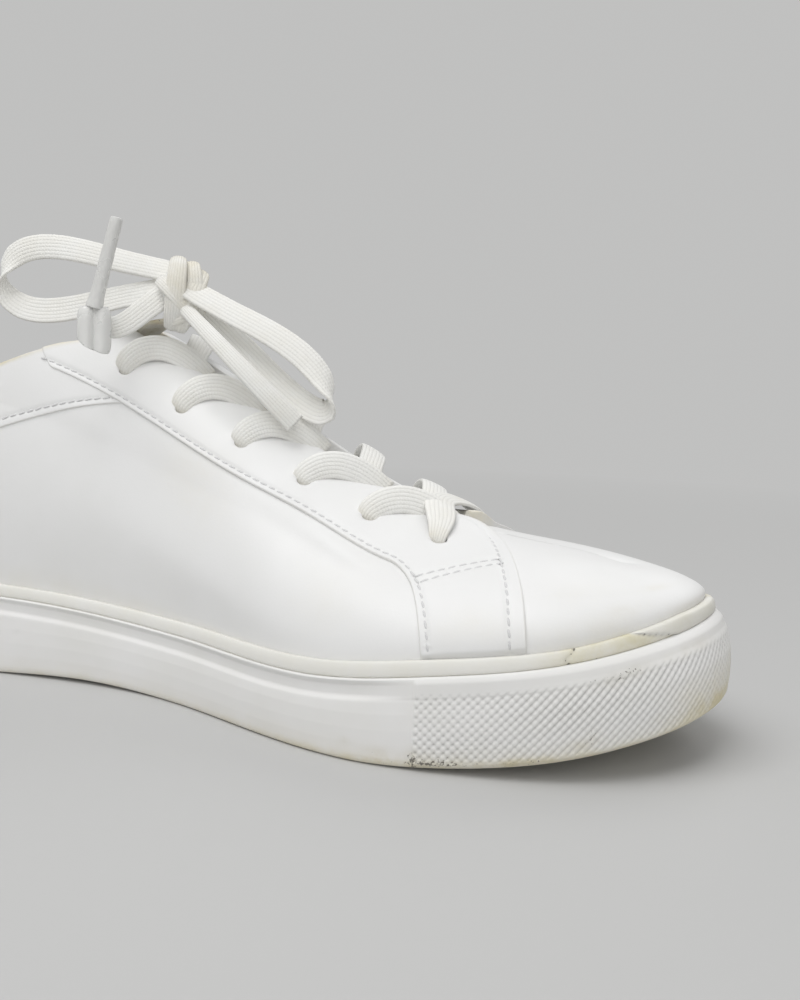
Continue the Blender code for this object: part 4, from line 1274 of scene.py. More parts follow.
def makeCup():
    size = cupSizes
    probe = np.linspace(0, 2 * math.pi, 8001)
    station, side = outlineAt(probe)
    line = np.stack([station, side], 1)
    run = np.concatenate([[0], np.cumsum(np.linalg.norm(np.diff(line, axis=0), axis=1))])
    innerStart = np.interp(swing(size["panelFrom"]), probe, run)
    outerStart = np.interp(2 * math.pi - swing(size["panelFrom"]), probe, run)
    cells = int(round((outerStart - innerStart) / size["knurlPitch"]))
    toeRun = np.linspace(innerStart, outerStart, cells * size["cellColumns"] + 1)
    rearOne = np.linspace(0, innerStart - 0.12, size["rearColumns"])
    rearTwo = np.linspace(outerStart + 0.12, run[-1], size["rearColumns"])
    runs = np.concatenate([rearOne, toeRun, rearTwo])
    turns = np.interp(runs, run, probe)
    inPanel = np.zeros(len(runs), bool)
    inPanel[len(rearOne):len(rearOne) + len(toeRun)] = True
    station = outlineAt(turns)[0]
    inner = turns <= math.pi
    wall = wallUpAt(station)
    steps = np.concatenate([[0, 0.12], np.arange(1, size["rowCount"]) * size["rowStep"]])
    rows = [np.full(len(runs), value) for value in steps]
    rows += [steps[-1] + (wall - steps[-1]) * share for share in np.linspace(0, 1, 16)[1:]]
    above = np.array(rows)
    stationGrid = np.broadcast_to(station, above.shape)
    inset = wallInset(stationGrid, above)
    around = (runs - innerStart) / (outerStart - innerStart) * cells
    upward = above / size["knurlRise"]
    rib, bar = around[None] - upward, around[None] + upward  # whole numbers on the raised cells
    ribGap = 2 * np.abs(rib - np.round(rib))  # 0 on a cell, 1 in a groove
    barGap = 2 * np.abs(bar - np.round(bar))
    ribGroove, barGroove = ease(ribGap, 0.45, 1.0), ease(barGap, 0.45, 1.0)
    turned = ease(np.where(inner, station, 284), *size["knurlTurn"])[None]
    pits = 0.30 * ribGroove + 0.30 * barGroove + 0.75 * ribGroove * barGroove
    ribs = 0.80 * ribGroove + 0.30 * barGroove
    dip = np.clip(pits * (1 - turned) + ribs * turned, 0, 1)
    below, fade = size["knurlTop"]
    mask = ease(above, *size["knurlFoot"]) * (1 - ease(above, wall[None] - below - fade,
        wall[None] - below))
    worn = 0.82 + 0.18 * np.sin(around[None] * 0.21 + 1.0) * np.sin(upward * 0.8)
    edgeFade = ease(runs, innerStart, innerStart + 0.9) * (1 - ease(runs, outerStart - 0.9, outerStart))
    relief = inPanel[None] * mask * edgeFade[None] * worn
    out = inPanel[None] * edgeFade[None] * size["panelOut"] * ease(above, 0.6,
        1.4) * (1 - ease(above, wall[None] - 1.4, wall[None] - 0.2))
    out = out + relief * (0.15 - dip) * size["knurlHeight"]
    along, side = insetAt(np.broadcast_to(turns, above.shape), inset - out)
    height = underside(stationGrid) + above
    wallPoints = np.stack([along, side, height], -1)
    rings = []
    for value, drop in ((7.0, 0.0), (3.0, 0.0)):
        x, y = insetAt(turns, value)
        rings.append(np.stack([x, y, underside(station) + drop], -1)[None])
    tops = []
    for value, drop in ((1.4, 0.0), (soleSizes["cupWall"] - 0.1, 0.0),
            (soleSizes["cupWall"] + 0.1, 3.0)):
        x, y = insetAt(turns, value + rakeAt(station))
        tops.append(np.stack([x, y, rimUp(station) - drop], -1)[None])
    points = np.concatenate(rings + [wallPoints] + tops)
    yellow, grime = rubberFields(stationGrid, above, np.broadcast_to(inner, above.shape))
    # painted shade for the knurl's recesses, kept as a mesh field for the rubber finish
    recessShade = relief * np.clip(dip * 1.2 - 0.15, 0, 1)
    grime = grime * (1 - 0.5 * relief * (1 - dip))  # grime is halved on the raised cells, so the recesses between them come out darker
    fill = np.broadcast_to(yellow[:1], (2, len(runs)))
    topYellow = np.full((3, len(runs)), 0.25)
    fields = {
        "yellow": np.concatenate([fill, yellow, topYellow]),
        "grime": np.concatenate([0.3 + 0 * fill, grime, 0.1 + 0 * topYellow]),
        "recessShade": np.concatenate([0 * fill, recessShade, 0 * topYellow]),
    }
    faces = gridQuads(len(points), len(runs))
    cup = meshPiece("cupSoleWall", points, faces, (wallRubber,), fields, weld=0.02)
    return cup


def makeTread():
    size = cupSizes
    stations = np.concatenate([np.linspace(7.3, 20, 18)[:-1], np.arange(20, 264, 0.55),
        np.linspace(264, 276.6, 16)])
    inner, outer = swing(stations), 2 * math.pi - swing(stations)
    innerPoint = np.stack(insetAt(inner, 6.6), -1)
    outerPoint = np.stack(insetAt(outer, 6.6), -1)
    shares = np.linspace(0, 1, 61)
    points = innerPoint[:, None] * (1 - shares)[None, :, None] + outerPoint[:, None] * shares[None, :,
        None]
    along = points[..., 0]
    width = np.linalg.norm(outerPoint - innerPoint, axis=1)[:, None]
    inside = np.minimum(shares, 1 - shares)[None] * width
    depth = np.zeros_like(along)
    for groove in size["treadGrooves"]:
        depth = np.maximum(depth, (1 - ease(np.abs(along - groove), size["treadWidth"] / 2 - 0.35,
            size["treadWidth"] / 2 + 0.2)) * ease(inside, 2.0, 3.4))
    ring = 0.7 * (1 - ease(np.abs(inside - 1.2), 0.25, 0.75))
    fineBars = 0.35 * (0.5 + 0.5 * np.sign(np.sin(along * 2.1 + np.abs(points[...,
        1]) * 1.2))) * ease(inside, 2.2, 3.2) * (depth < 0.05)
    height = underside(along) + depth * size["treadDepth"] + ring + fineBars
    cloud = np.concatenate([points, height[..., None]], -1)
    yellow = 0.35 + 0.3 * ease(along, 150, 260)
    grime = 0.45 * ease(along, 170,
        240) * (1 - ease(along, 255, 272)) + 0.3 * (1 - ease(along, 10, 60)) + 0.35 * (depth > 0.5)
    return meshPiece("soleTread", cloud, gridQuads(*along.shape)[:, ::-1], (treadRubber,),
        {"yellow": yellow, "grime": grime})


# the tape round the joint

tapeSizes = {
    "columns": 900,
    "joint": (271.5, 9.0),  # the toe piece laps over the side piece on a slant
    "crack": (253.5, 0.45),
    "waves": 0.10,
    "heights": ((0, 3.0), (215, 3.6), (238, 3.4), (255, 3.0), (278, 3.5), (284, 2.9)),
}


def makeTape():
    size = tapeSizes
    turns = np.linspace(0, 2 * math.pi, size["columns"] + 1)
    station = outlineAt(turns)[0]
    inner = turns <= math.pi
    low = soleSizes["stripInsets"][0]
    tall = np.interp(station, *np.array(size["heights"], float).T)
    rake = rakeAt(station)
    # share of the height, and inset
    profile = ((-0.01, 2.2), (0.0, low + 0.45), (0.03, low + 0.16), (0.09, low + 0.03), (0.2, low),
        (0.34, low + 0.06), (0.48, low + 0.14), (0.62, low + 0.26),
               (0.75, low + 0.42), (0.85, low + 0.58), (0.92, low + 0.72), (0.965, low + 0.88),
               (0.99, low + 1.1), (1.0, low + 1.35), (0.985, low + 1.75), (0.93, 3.1), (0.6, 3.5))
    share = np.array([row[0] for row in profile])[:, None]
    inset = np.array([row[1] for row in profile])[:, None]
    face = ((share > 0) & (inset < low + 1.3)).astype(float)
    wave = size["waves"] * (np.sin(station * 0.9) * 0.5 + np.sin(station * 0.37 + 1.3)) * 0.5
    at, slant = size["joint"]
    fromJoint = (station + slant * (share - 0.5) - at) * np.where(inner, 1, 0)
    joint = np.exp(-(fromJoint / 0.45) ** 2) * inner
    crackBend = 0.9 * np.sin(share * 5.0)
    crack = np.exp(-((station + crackBend - size["crack"][0]) / size["crack"][1]) ** 2) * inner
    proud = 0.28 * ease(fromJoint, 0.0, 0.6) * inner
    shift = inset + rake + face * (wave * 0.4 + 0.30 * joint + 0.28 * crack - proud)
    x, y = insetAt(np.broadcast_to(turns, shift.shape), shift)
    points = np.stack([x, y, rimUp(station) + share * tall], -1)
    yellowed = ease(station, 243, 256) * (1 - ease(fromJoint, -1.0, 0.4))
    aged = np.where(inner, 0.15 + 0.62 * yellowed + 0.12 * ease(fromJoint, 0, 2),
        0.2 + 0.35 * ease(station, 236, 262))
    yellow = aged * (0.85 + 0.2 * share) + 0.25 * np.exp(-((share - 0.02) / 0.05) ** 2)
    foot = np.exp(-(share / 0.05) ** 2) * (0.30 + 0.35 * ease(station, 225, 262) + 0.5 * ease(fromJoint,
        2, 6))
    tip = 0.22 * ease(fromJoint, 0.5, 4.0) * inner
    grime = foot + 0.7 * joint + 0.9 * crack + tip + 0.12 * yellowed
    return meshPiece("foxingTape", points, gridQuads(len(profile), len(turns)), (tapeRubber,),
        {"yellow": np.clip(yellow, 0, 1), "grime": grime}, weld=0.02)


def makeInsole():
    stations = np.linspace(7.0, 276.0, 150)
    inner, outer = swing(stations), 2 * math.pi - swing(stations)
    edge = soleSizes["cupWall"] + soleSizes["gap"] + upperSizes["wall"] + 2 * soleSizes["gap"]
    innerPoint = np.stack(insetAt(inner, edge + rakeAt(stations)), -1)
    outerPoint = np.stack(insetAt(outer, edge + rakeAt(stations)), -1)
    shares = np.concatenate([[0, 0.006, 0.02], np.linspace(0.05, 0.95, 31), [0.98, 0.994, 1]])
    points = innerPoint[:, None] * (1 - shares)[None, :, None] + outerPoint[:, None] * shares[None, :,
        None]
    width = np.linalg.norm(outerPoint - innerPoint, axis=1)[:, None]
    inside = np.minimum(shares, 1 - shares)[None] * width
    rise = -0.9 * (1 - ease(inside, 0, 1.2)) + 1.6 * (1 - ease(inside, 1.0, 13.0)) * (1 - ease(stations,
        120, 190))[:, None]
    heelCup = -1.1 * np.exp(-((points[..., 0] - 38) / 26) ** 2 - (points[..., 1] / 17) ** 2)
    ballDent = -0.7 * np.exp(-((points[..., 0] - 205) / 24) ** 2 - (points[..., 1] / 24) ** 2)
    height = underside(stations)[:, None] + footbedUpAt(stations)[:,
        None] + 0.3 + 3.3 + rise * 0.4 + heelCup + ballDent
    cloud = np.concatenate([points, height[..., None]], -1)
    return meshPiece("insoleSock", cloud, gridQuads(*height.shape)[:, ::-1], (insoleCloth,))


tongueAlong, tongueHalf, tongueDrop = columns(
    (97, 15.0, 15.0), (103, 19.0, 10.5), (111, 22.0, 6.0), (120, 24.0, 3.0), (135, 25.0, 1.0),
    (160, 25.0, 0.6),
    (190, 23.0, 0.6), (214, 19.0, 0.8), (226, 14.0, 1.4),
)
tongueSizes = {"rows": 120, "columns": 56, "thick": 2.6, "pad": 1.4, "binding": 2.2}


def makeTongue():
    size = tongueSizes
    halfAt, dropAt = splineOf(tongueAlong, tongueHalf), splineOf(tongueAlong, tongueDrop)
    along = np.linspace(tongueAlong[0], tongueAlong[-1], size["rows"])
    across = np.sin(np.linspace(-1, 1, size["columns"]) * math.pi / 2)
    beside = halfAt(along)[:, None] * across[None]
    topCorner = np.sqrt(np.clip(1 - ((tongueAlong[0] + 6 - along) / 6).clip(0, 1) ** 2, 0.15, 1))[:,
        None]
    beside = beside * topCorner
    beside = np.where(np.abs(beside) < 0.2, 0.2 * np.sign(beside + 1e-9), beside)
    point, normal = skinFrame(np.broadcast_to(along[:, None], beside.shape), beside)
    base = point - normal * (upperSizes["wall"] + 0.3 + dropAt(along)[:, None] + 0.25)[..., None]
    fromEnd = np.minimum(along - along[0], 60)[:, None]
    fromSide = (1 - np.abs(across))[None] * halfAt(along)[:, None]
    near = np.minimum(fromEnd, fromSide)
    edge = np.sqrt(np.clip(1 - (1 - np.minimum(near, 2.0) / 2.0) ** 2, 0, 1))
    quilt = 0.25 * np.cos(along[:, None] * 0.5) * ease(fromSide, 2, 8)
    groove = 0.45 * np.exp(-((near - size["binding"]) / 0.5) ** 2)
    half = size["thick"] / 2 * edge + (size["pad"] * (1 - ease(along, 112, 132)))[:, None] * ease(near,
        1.5, 7.0) * 0.5
    upper = base + normal * (half - size["thick"] / 2 - groove * edge + quilt * 0.4)[..., None]
    lower = base - normal * (half + size["thick"] / 2)[..., None]
    rowCount, columnCount = beside.shape
    points = np.concatenate([upper, lower])
    faces = np.concatenate([gridQuads(rowCount, columnCount),
        gridQuads(rowCount, columnCount, rowCount * columnCount)[:, ::-1]])
    yellow = 0.10 + 0.25 * np.exp(-near / 1.5)
    grime = np.full_like(yellow, 0.05)
    tongue = meshPiece("tonguePad", points, faces, (coatedLeather,),
        {"yellow": np.concatenate([yellow, yellow]), "grime": np.concatenate([grime, grime])},
        weld=0.05)
    work = bmesh.new()
    work.from_mesh(tongue.data)
    rim = [e for e in work.edges if len(e.link_faces) == 1]
    if rim:
        bmesh.ops.holes_fill(work, edges=rim, sides=0)
    bmesh.ops.recalc_face_normals(work, faces=work.faces)
    work.to_mesh(tongue.data)
    work.free()
    return tongue


addPiece(makeCup(), "cup_sole", "cup_sole")
addPiece(makeTread(), "cup_sole")
addPiece(makeTape(), "foxing_strip", "foxing_strip")
addPiece(makeInsole(), "insole", "insole")
tonguePad = addPiece(makeTongue(), "tongue", "tongue")
print("sole, tape, insole and tongue made")

def laceMesh(name, ribbons):
    # each ribbon: points, width vectors, widths, thicknesses, curl, yellow
    size = laceSizes
    bag, faces, uvs, yellows, grimes = [], [], [], [], []
    around = 28
    angles = np.linspace(0, 2 * math.pi, around, endpoint=False)
    # a flat section with soft round edges
    cosA, sinA = np.cos(angles), np.sin(angles)
    sectionX = np.sign(cosA) * np.abs(cosA) ** 0.75 * 0.5
    sectionY = np.sign(sinA) * np.abs(sinA) ** 0.6 * 0.5
    start = 0
    for ribbon in ribbons:
        points, wides, widths = ribbon["points"], ribbon["wides"], ribbon["widths"]
        ahead = unit(np.gradient(points, axis=0))
        wides = unit(wides - ahead * np.sum(wides * ahead, 1, keepdims=True))
        thin = np.cross(wides, ahead)
        run = np.concatenate([[0], np.cumsum(np.linalg.norm(np.diff(points, axis=0), axis=1))])
        thick = ribbon.get("thick", np.full(len(points), size["thick"]))
        curl = ribbon.get("curl", np.zeros(len(points)))
        x = sectionX[None] * widths[:, None]
        y = sectionY[None] * thick[:, None] + curl[:, None] * (sectionX[None] * 2) ** 2
        ring = points[:, None] + wides[:, None] * x[..., None] + thin[:, None] * y[..., None]
        count = len(points)
        bag.append(ring.reshape(-1, 3))
        for i in range(count - 1):
            for j in range(around):
                k = (j + 1) % around
                faces.append((start + i * around + j, start + i * around + k,
                    start + (i + 1) * around + k, start + (i + 1) * around + j))
        faces.append(tuple(start + j for j in range(around))[::-1])
        faces.append(tuple(start + (count - 1) * around + j for j in range(around)))
        # the weave's place: length along the lace, and share of the width
        uv = np.empty((count, around, 2))
        uv[..., 0] = run[:, None]
        uv[..., 1] = sectionX[None] + 0.5
        uvs.append(uv.reshape(-1, 2))
        yellow = ribbon.get("yellow", np.full(count, 0.12))
        yellows.append(np.repeat(yellow, around))
        grime = ribbon.get("grime", np.full(count, 0.0))
        grimes.append(np.repeat(grime, around))
        start += count * around
    piece = meshPiece(name, np.concatenate(bag), faces, (laceCotton,),
        {"yellow": np.concatenate(yellows), "grime": np.concatenate(grimes)}, uv=np.concatenate(uvs))
    work = bmesh.new()
    work.from_mesh(piece.data)
    bmesh.ops.recalc_face_normals(work, faces=work.faces)
    work.to_mesh(piece.data)
    work.free()
    return piece


def ribbonThrough(route, widths, wides, step=None, thick=None, curl=None, yellow=None, grime=None):
    # smooth route through a few points, with the other values spread along it
    route = np.asarray(route, float)
    run = np.concatenate([[0], np.cumsum(np.linalg.norm(np.diff(route, axis=0), axis=1))])
    count = max(6, int(run[-1] / (step or laceSizes["step"])) + 1)
    wanted = np.linspace(0, run[-1], count)
    points = np.stack([splineOf(run, route[:, k])(wanted) for k in range(3)], 1)

    def spreadOf(values):
        values = np.asarray(values, float)
        if values.ndim == 0:
            return np.full(count, float(values))
        return np.interp(wanted, np.linspace(0, run[-1],
            len(values)) if len(values) != len(run) else run, values)

    wides = np.asarray(wides, float)
    if wides.ndim == 1:
        wides = np.tile(wides, (len(run), 1))
    spreadWides = unit(np.stack([np.interp(wanted, run, wides[:, k]) for k in range(3)], 1))
    ribbon = {"points": points, "wides": spreadWides, "widths": spreadOf(widths)}
    ribbon["thick"] = spreadOf(laceSizes["thick"] if thick is None else thick)
    ribbon["curl"] = spreadOf(0.0 if curl is None else curl)
    ribbon["yellow"] = spreadOf(0.12 if yellow is None else yellow)
    ribbon["grime"] = spreadOf(0.0 if grime is None else grime)
    return ribbon


crossingSizes = {
    "holeFirst": 215.8,
    "pitch": 18.8,
    # distance ahead of the hole, beside the throat's middle, height over the bare last, width share, yellow
    "near": ((-1.0, 18.2, -2.6, 0.66, 0.45), (-0.9, 18.2, -0.6, 0.70, 0.35),
    (-0.7, 17.7, 1.0, 0.78, 0.20), (0.4, 16.0, 2.3, 0.90, 0.12), (2.4, 13.4, 3.2, 0.98, 0.08),
             (5.2, 10.8, 3.6, 1.0, 0.08), (8.4, 8.6, 3.3, 1.0, 0.08), (11.6, 6.9, 2.5, 0.98, 0.10),
             (14.8, 5.6, 1.3, 0.94, 0.12), (18.0, 4.4, -0.3, 0.9, 0.2)),
    "far": ((0.0, 18.2, -2.6, 0.60, 0.45), (0.0, 18.1, -0.4, 0.64, 0.35), (0.2, 17.4, 1.2, 0.74, 0.2),
    (0.9, 15.6, 2.6, 0.90, 0.12), (2.6, 12.6, 4.0, 1.0, 0.08),
            (4.8, 9.2, 4.9, 1.0, 0.08), (7.0, 5.6, 5.0, 1.0, 0.08), (9.0, 2.0, 4.0, 0.98, 0.10),
            (10.8, -1.6, 2.4, 0.95, 0.12), (12.6, -4.6, 0.4, 0.9, 0.2)),
    "facing": (0.35, 0.65),  # how far the near band turns from the skin toward the inner side
}


def legRibbon(number, side):
    size = crossingSizes
    hole = size["holeFirst"] - size["pitch"] * number
    ahead, beside, lift, share, yellow = np.array(size["near" if side < 0 else "far"]).T
    jitter = random.uniform(-0.2, 0.2)
    signed = side * np.where(np.abs(beside) < 0.3, 0.3, beside)
    bare, normal = skinFrame(hole + ahead, signed)
    points = bare + normal * (lift + jitter * (lift > 1))[:, None]
    facing = normal
    if side < 0:
        flat, turned = size["facing"]
        facing = unit(normal * flat + np.array(bowAxes["near"]) * turned)
    wides = np.cross(unit(np.gradient(points, axis=0)), facing)
    wides[:3] = wides[3] * 0.5 + np.array([0.5, 0, -0.15])
    curl = -0.5 + 0.35 * ease(ahead, 0, 6)
    return ribbonThrough(points, share * laceSizes["width"], wides, curl=curl, yellow=yellow)


def makeBar():
    size = crossingSizes
    # height over the bare last from hole to hole
    profile = ((-18.0, -2.6, 0.46), (-17.9, -0.2, 0.5), (-17.2, 1.3, 0.58), (-15.0, 2.5, 0.74),
        (-11.5, 3.1, 0.95), (-8.0, 3.6, 1.05), (-4.0, 3.7, 1.06),
               (0.4, 3.6, 1.05), (4.0, 3.9, 1.05), (8.0, 3.9, 1.0), (11.5, 3.4, 0.95),
               (15.0, 2.6, 0.76), (17.2, 1.4, 0.58), (17.9, -0.2, 0.5), (18.0, -2.6, 0.46))
    beside, lift, share = np.array(profile).T
    along = size["holeFirst"] - 6.5 * np.exp(-(beside / 11) ** 2)
    bare, normal = skinFrame(along, beside)
    points = bare + normal * lift[:, None]
    points[0] = bare[1] - normal[1] * 2.6
    points[-1] = bare[-2] - normal[-2] * 2.6
    wides = np.tile(np.array([1.0, 0, -0.35]), (len(points), 1))
    return laceMesh("laceBar", [ribbonThrough(points, share * laceSizes["width"] * 1.04, wides,
        curl=-0.25, yellow=np.where(np.abs(beside) > 15, 0.3, 0.14))])


addPiece(makeBar(), "lace_bar", "lace_bar")
for number in range(1, 6):
    legs = [legRibbon(number, side) for side in (-1, 1)]
    addPiece(laceMesh("laceCross%d" % (number + 1), legs), "lace_cross_%d" % (number + 1),
        "lace_cross_%d" % (number + 1))
print("crossings made")

# radii go right, up, near
knotSizes = {"radii": (6.2, 9.2, 5.8), "core": 0.95, "steps": 15, "tuck": 3.5}


def bowPoints(rows):  # the bow's axes to along, side and height
    rows = np.atleast_2d(np.asarray(rows, float))
    return np.array(bowAxes["middle"]) + rows[:, :1] * bowAxes["right"] + rows[:,
        1:2] * bowAxes["up"] + rows[:, 2:3] * bowAxes["near"]


def bowRibbon(route, shown, tilt, narrow=False, **values):
    # shown is the share of the lace's width seen from the inner side; below 0 it is the other face
    route, shown = np.asarray(route, float), np.asarray(shown, float)
    flat = np.stack([(route - bowAxes["middle"]) @ np.array(bowAxes[name]) for name in ("right", "up")],
        1)
    ahead = unit(np.gradient(flat, axis=0))
    cosine = np.full(len(route), 0.95) if narrow else np.clip(shown, -1, 1)
    widths = laceSizes["width"] * (np.abs(shown) if narrow else np.ones(len(route)))
    sine = tilt * np.sqrt(1 - cosine ** 2)
    across = ahead[:, 1:2] * bowAxes["right"] - ahead[:, :1] * np.array(bowAxes["up"])
    wides = across * cosine[:, None] + sine[:, None] * bowAxes["near"]
    return ribbonThrough(route, widths, wides, **values)


def loopShown(count):  # full in the runs, edge on at the tip, pinched at the knot
    share = np.linspace(0, 1, count)
    return np.tanh((0.5 - share) / 0.08) * (0.7 + 0.3 * np.sin(math.pi * share) ** 0.5)


# the lace's turns round the knot: lean, sideways place, first and last angle round it, width share, lift
knotBands = ((95, -4.4, -85, 85, 0.80, 0.2), (15, -5.5, -75, 75, 0.75, 0.3),
    (60, -2.5, -85, 85, 0.95, 0.5), (82, 2.6, -85, 80, 0.75, 1.0), (-35, -1.5, -70, 60, 0.65, 0.7))


def knotBand(lean, place, first, last, wide, lift):
    lean = math.radians(lean)
    angle = np.radians(np.linspace(first, last, knotSizes["steps"]))
    right = math.cos(lean) * np.sin(angle) - place / 9 * math.sin(lean)
    up = math.sin(lean) * np.sin(angle) + place / 9 * math.cos(lean)
    body = np.stack([right, up, np.cos(angle)], 1)
    rows = unit(body) * (np.array(knotSizes["radii"]) + lift)
    shown = wide * (0.75 + 0.25 * np.cos(angle))
    return bowRibbon(bowPoints(rows), shown, 1, narrow=True, curl=-0.5, thick=1.5,
        yellow=np.linspace(0.1, 0.45, len(rows)))


def makeKnot():
    knot = laceMesh("laceKnot", [knotBand(*band) for band in knotBands])
    bpy.ops.mesh.primitive_ico_sphere_add(subdivisions=4, radius=1)
    lump = bpy.context.object
    lump.name = "laceKnotCore"
    for vertex in lump.data.vertices:
        p = vertex.co.copy()
        bulge = knotSizes["core"] * (1 + 0.10 * noise_vector(p * 2.2)[0])
        place = bowPoints([(p.x * knotSizes["radii"][0] * bulge, p.z * knotSizes["radii"][1] * bulge,
            p.y * knotSizes["radii"][2] * bulge)])
        vertex.co = Vector(inMetres(place[0])[0])
    work = bmesh.new()
    work.from_mesh(lump.data)
    bmesh.ops.recalc_face_normals(work, faces=work.faces)
    work.to_mesh(lump.data)
    work.free()
    lump.data.materials.append(laceCotton)
    for layer in lump.data.uv_layers:
        layer.name = "weave"
    lump.data.shade_smooth()
    addPiece(lump, "lace_knot")
    return addPiece(knot, "lace_knot", "lace_knot")


def makeRisers():
    low, lowNormal = skinFrame(np.array([115.0, 115.0]), np.array([-3.0, 3.0]))
    ribbons = []
    for k, sign in enumerate((-1, 1)):
        foot = low[k] - lowNormal[k] * 1.5
        top = np.array(bowAxes["middle"]) + np.array([-1.5, sign * 2.0, -7.0])
        route = [foot + np.array([-4, 0, -3.0]), foot, foot * 0.6 + top * 0.4 + lowNormal[k] * 1.6,
            foot * 0.25 + top * 0.75 + lowNormal[k] * 0.8, top]
        ribbons.append(ribbonThrough(route, (5.5, 6.5, 7.0, 6.5, 5.5), np.array([0.2, 1.0, 0.1]),
            curl=-0.3, yellow=(0.5, 0.5, 0.6, 0.75, 0.8), grime=(0.2, 0.2, 0.2, 0.4, 0.4)))
    return addPiece(laceMesh("laceRisers", ribbons), "lace_risers", "lace_risers")


def tucked(route, bothEnds):  # carries a cord's ends straight on into the knot
    route = np.asarray(route, float)
    first = route[:1] + unit(route[:1] - route[1:2]) * knotSizes["tuck"]
    last = route[-1:] + unit(route[-1:] - route[-2:-1]) * knotSizes["tuck"]
    return np.concatenate([first, route, last] if bothEnds else [first, route])


def makeBow():
    rear = bowRibbon(tucked(loopRoute(**rearLoop), True), loopShown(cordSteps["loop"] + 2), -1,
        curl=-0.25)
    loop = addPiece(laceMesh("laceLoopRear", [rear]), "lace_loop_rear", "lace_loop_rear")
    front = bowRibbon(tucked(loopRoute(**frontLoop), True), loopShown(cordSteps["loop"] + 2), 1,
        curl=-0.3)
    loop = addPiece(laceMesh("laceLoopFront", [front]), "lace_loop_front", "lace_loop_front")
    hanging = bowRibbon(tucked(arcRoute(**frontEnd), False),
        np.linspace(0.5, 0.8, cordSteps["arc"] + 1), 1, narrow=True, curl=-0.7, thick=1.6)
    addPiece(laceMesh("laceEndFront", [hanging]), "lace_end_front", "lace_end_front")
    low, high = np.array(rearAgletEnds, float)
    inAglet = low + (high - low) * np.linspace(0.15, 1, 5)[:, None]
    line = smoothLine(np.concatenate([tucked(rearEnd, False), inAglet]), 24)
    # gathered into the aglet
    squeezed = np.interp(np.linspace(0, 1, 24), (0, 0.35, 0.5, 1), (0.95, 0.85, 0.3, 0.25))
    folded = bowRibbon(line, squeezed, -1, narrow=True, curl=-0.25)
    end = addPiece(laceMesh("laceEndRear", [folded]), "lace_end_rear", "lace_end_rear")
    aglet = addPiece(makeAglet("agletRear", low, high), "aglet_rear", "aglet_rear")
    film = addPiece(makeFilm(low), "aglet_rear")


filmSizes = {"length": 13.0, "width": 8.6, "squareness": 5, "out": 2.2}  # the split film under the tip


def makeFilm(top):
    size = filmSizes
    across = np.linspace(-1, 1, 29)
    share = np.linspace(0, 1, 34)[:, None]  # 0 at the loose edge
    wide = size["width"] * (1 - np.abs(1 - 2 * (0.08 + 0.86 * share)) ** size["squareness"]) ** (1 / 3)
    atTop = (top - bowAxes["middle"]) @ np.stack([bowAxes["right"], bowAxes["up"], bowAxes["near"]], 1)
    right = atTop[0] + wide / 2 * across[None]
    uneven = 1.4 * (1 - across) + 0.8 * across ** 4  # the loose edge is torn lower on one side
    high = atTop[1] + size["length"] * (share - 1) + uneven[None] * (1 - share) ** 2
    lobes = 1 - (2 * np.abs(across) - 1) ** 2
    close = (atTop[2] + size["out"] * (1 - share) ** 0.5
             + (1.3 * lobes[None] - 0.5 * across[None] ** 2) * (1 - 0.4 * share))
    front = np.stack([right, high + 0 * right, close + 0 * right], -1)
    thin = np.array([0, 0, 0.32])
    cloud = np.concatenate([bowPoints(front.reshape(-1, 3)), bowPoints((front - thin).reshape(-1, 3))])
    rowCount, columnCount = front.shape[:2]
    total = rowCount * columnCount
    index = np.arange(total).reshape(rowCount, columnCount)
    loop = np.concatenate([index[0, :-1], index[:-1, -1], index[-1, :0:-1], index[:0:-1, 0]])
    rim = np.stack([loop, np.roll(loop, -1), np.roll(loop, -1) + total, loop + total], -1)
    faces = np.concatenate([gridQuads(rowCount, columnCount),
        gridQuads(rowCount, columnCount, total)[:, ::-1], rim])
    film = meshPiece("agletFilmSplit", cloud, faces, (agletFilm,))
    work = bmesh.new()
    work.from_mesh(film.data)
    bmesh.ops.recalc_face_normals(work, faces=work.faces)
    work.to_mesh(film.data)
    work.free()
    return film


agletSizes = {"radius": 1.72, "around": 28}


def makeAglet(name, low, high):
    axis = unit(high - low)
    length = np.linalg.norm(high - low)
    sideways = unit(np.cross(axis, np.array([0.3, -1.0, 0.1])))
    other = np.cross(axis, sideways)
    # share of the length, radius share
    profile = ((-0.02, 1.18), (0.0, 1.22), (0.04, 1.15), (0.12, 1.04), (0.3, 1.0), (0.5, 1.02),
        (0.7, 0.98), (0.9, 0.98), (0.975, 0.95), (0.992, 0.86), (1.0, 0.70), (1.0, 0.45), (0.985, 0.25),
        (0.985, 0.0))
    angles = np.linspace(0, 2 * math.pi, agletSizes["around"], endpoint=False)
    rows = []
    for share, wide in profile:
        radius = agletSizes["radius"] * wide * (1 + 0.05 * np.cos(2 * angles + share * 3))
        rows.append(low + axis * length * share + np.outer(np.cos(angles) * radius * 1.06,
            sideways) + np.outer(np.sin(angles) * radius * 0.94, other))
    points = np.array(rows)
    n = len(angles)
    faces = []
    for i in range(len(profile) - 1):
        for j in range(n):
            k = (j + 1) % n
            faces.append((i * n + j, i * n + k, (i + 1) * n + k, (i + 1) * n + j))
    return meshPiece(name, points, faces, (agletFilm,), weld=0.01)


makeKnot()
makeRisers()
makeBow()
print("bow made")

studioSizes = {"wallAt": 3.2, "bend": 1.6, "wallUp": 4.0, "evenFrom": (0.22, 0.75)}


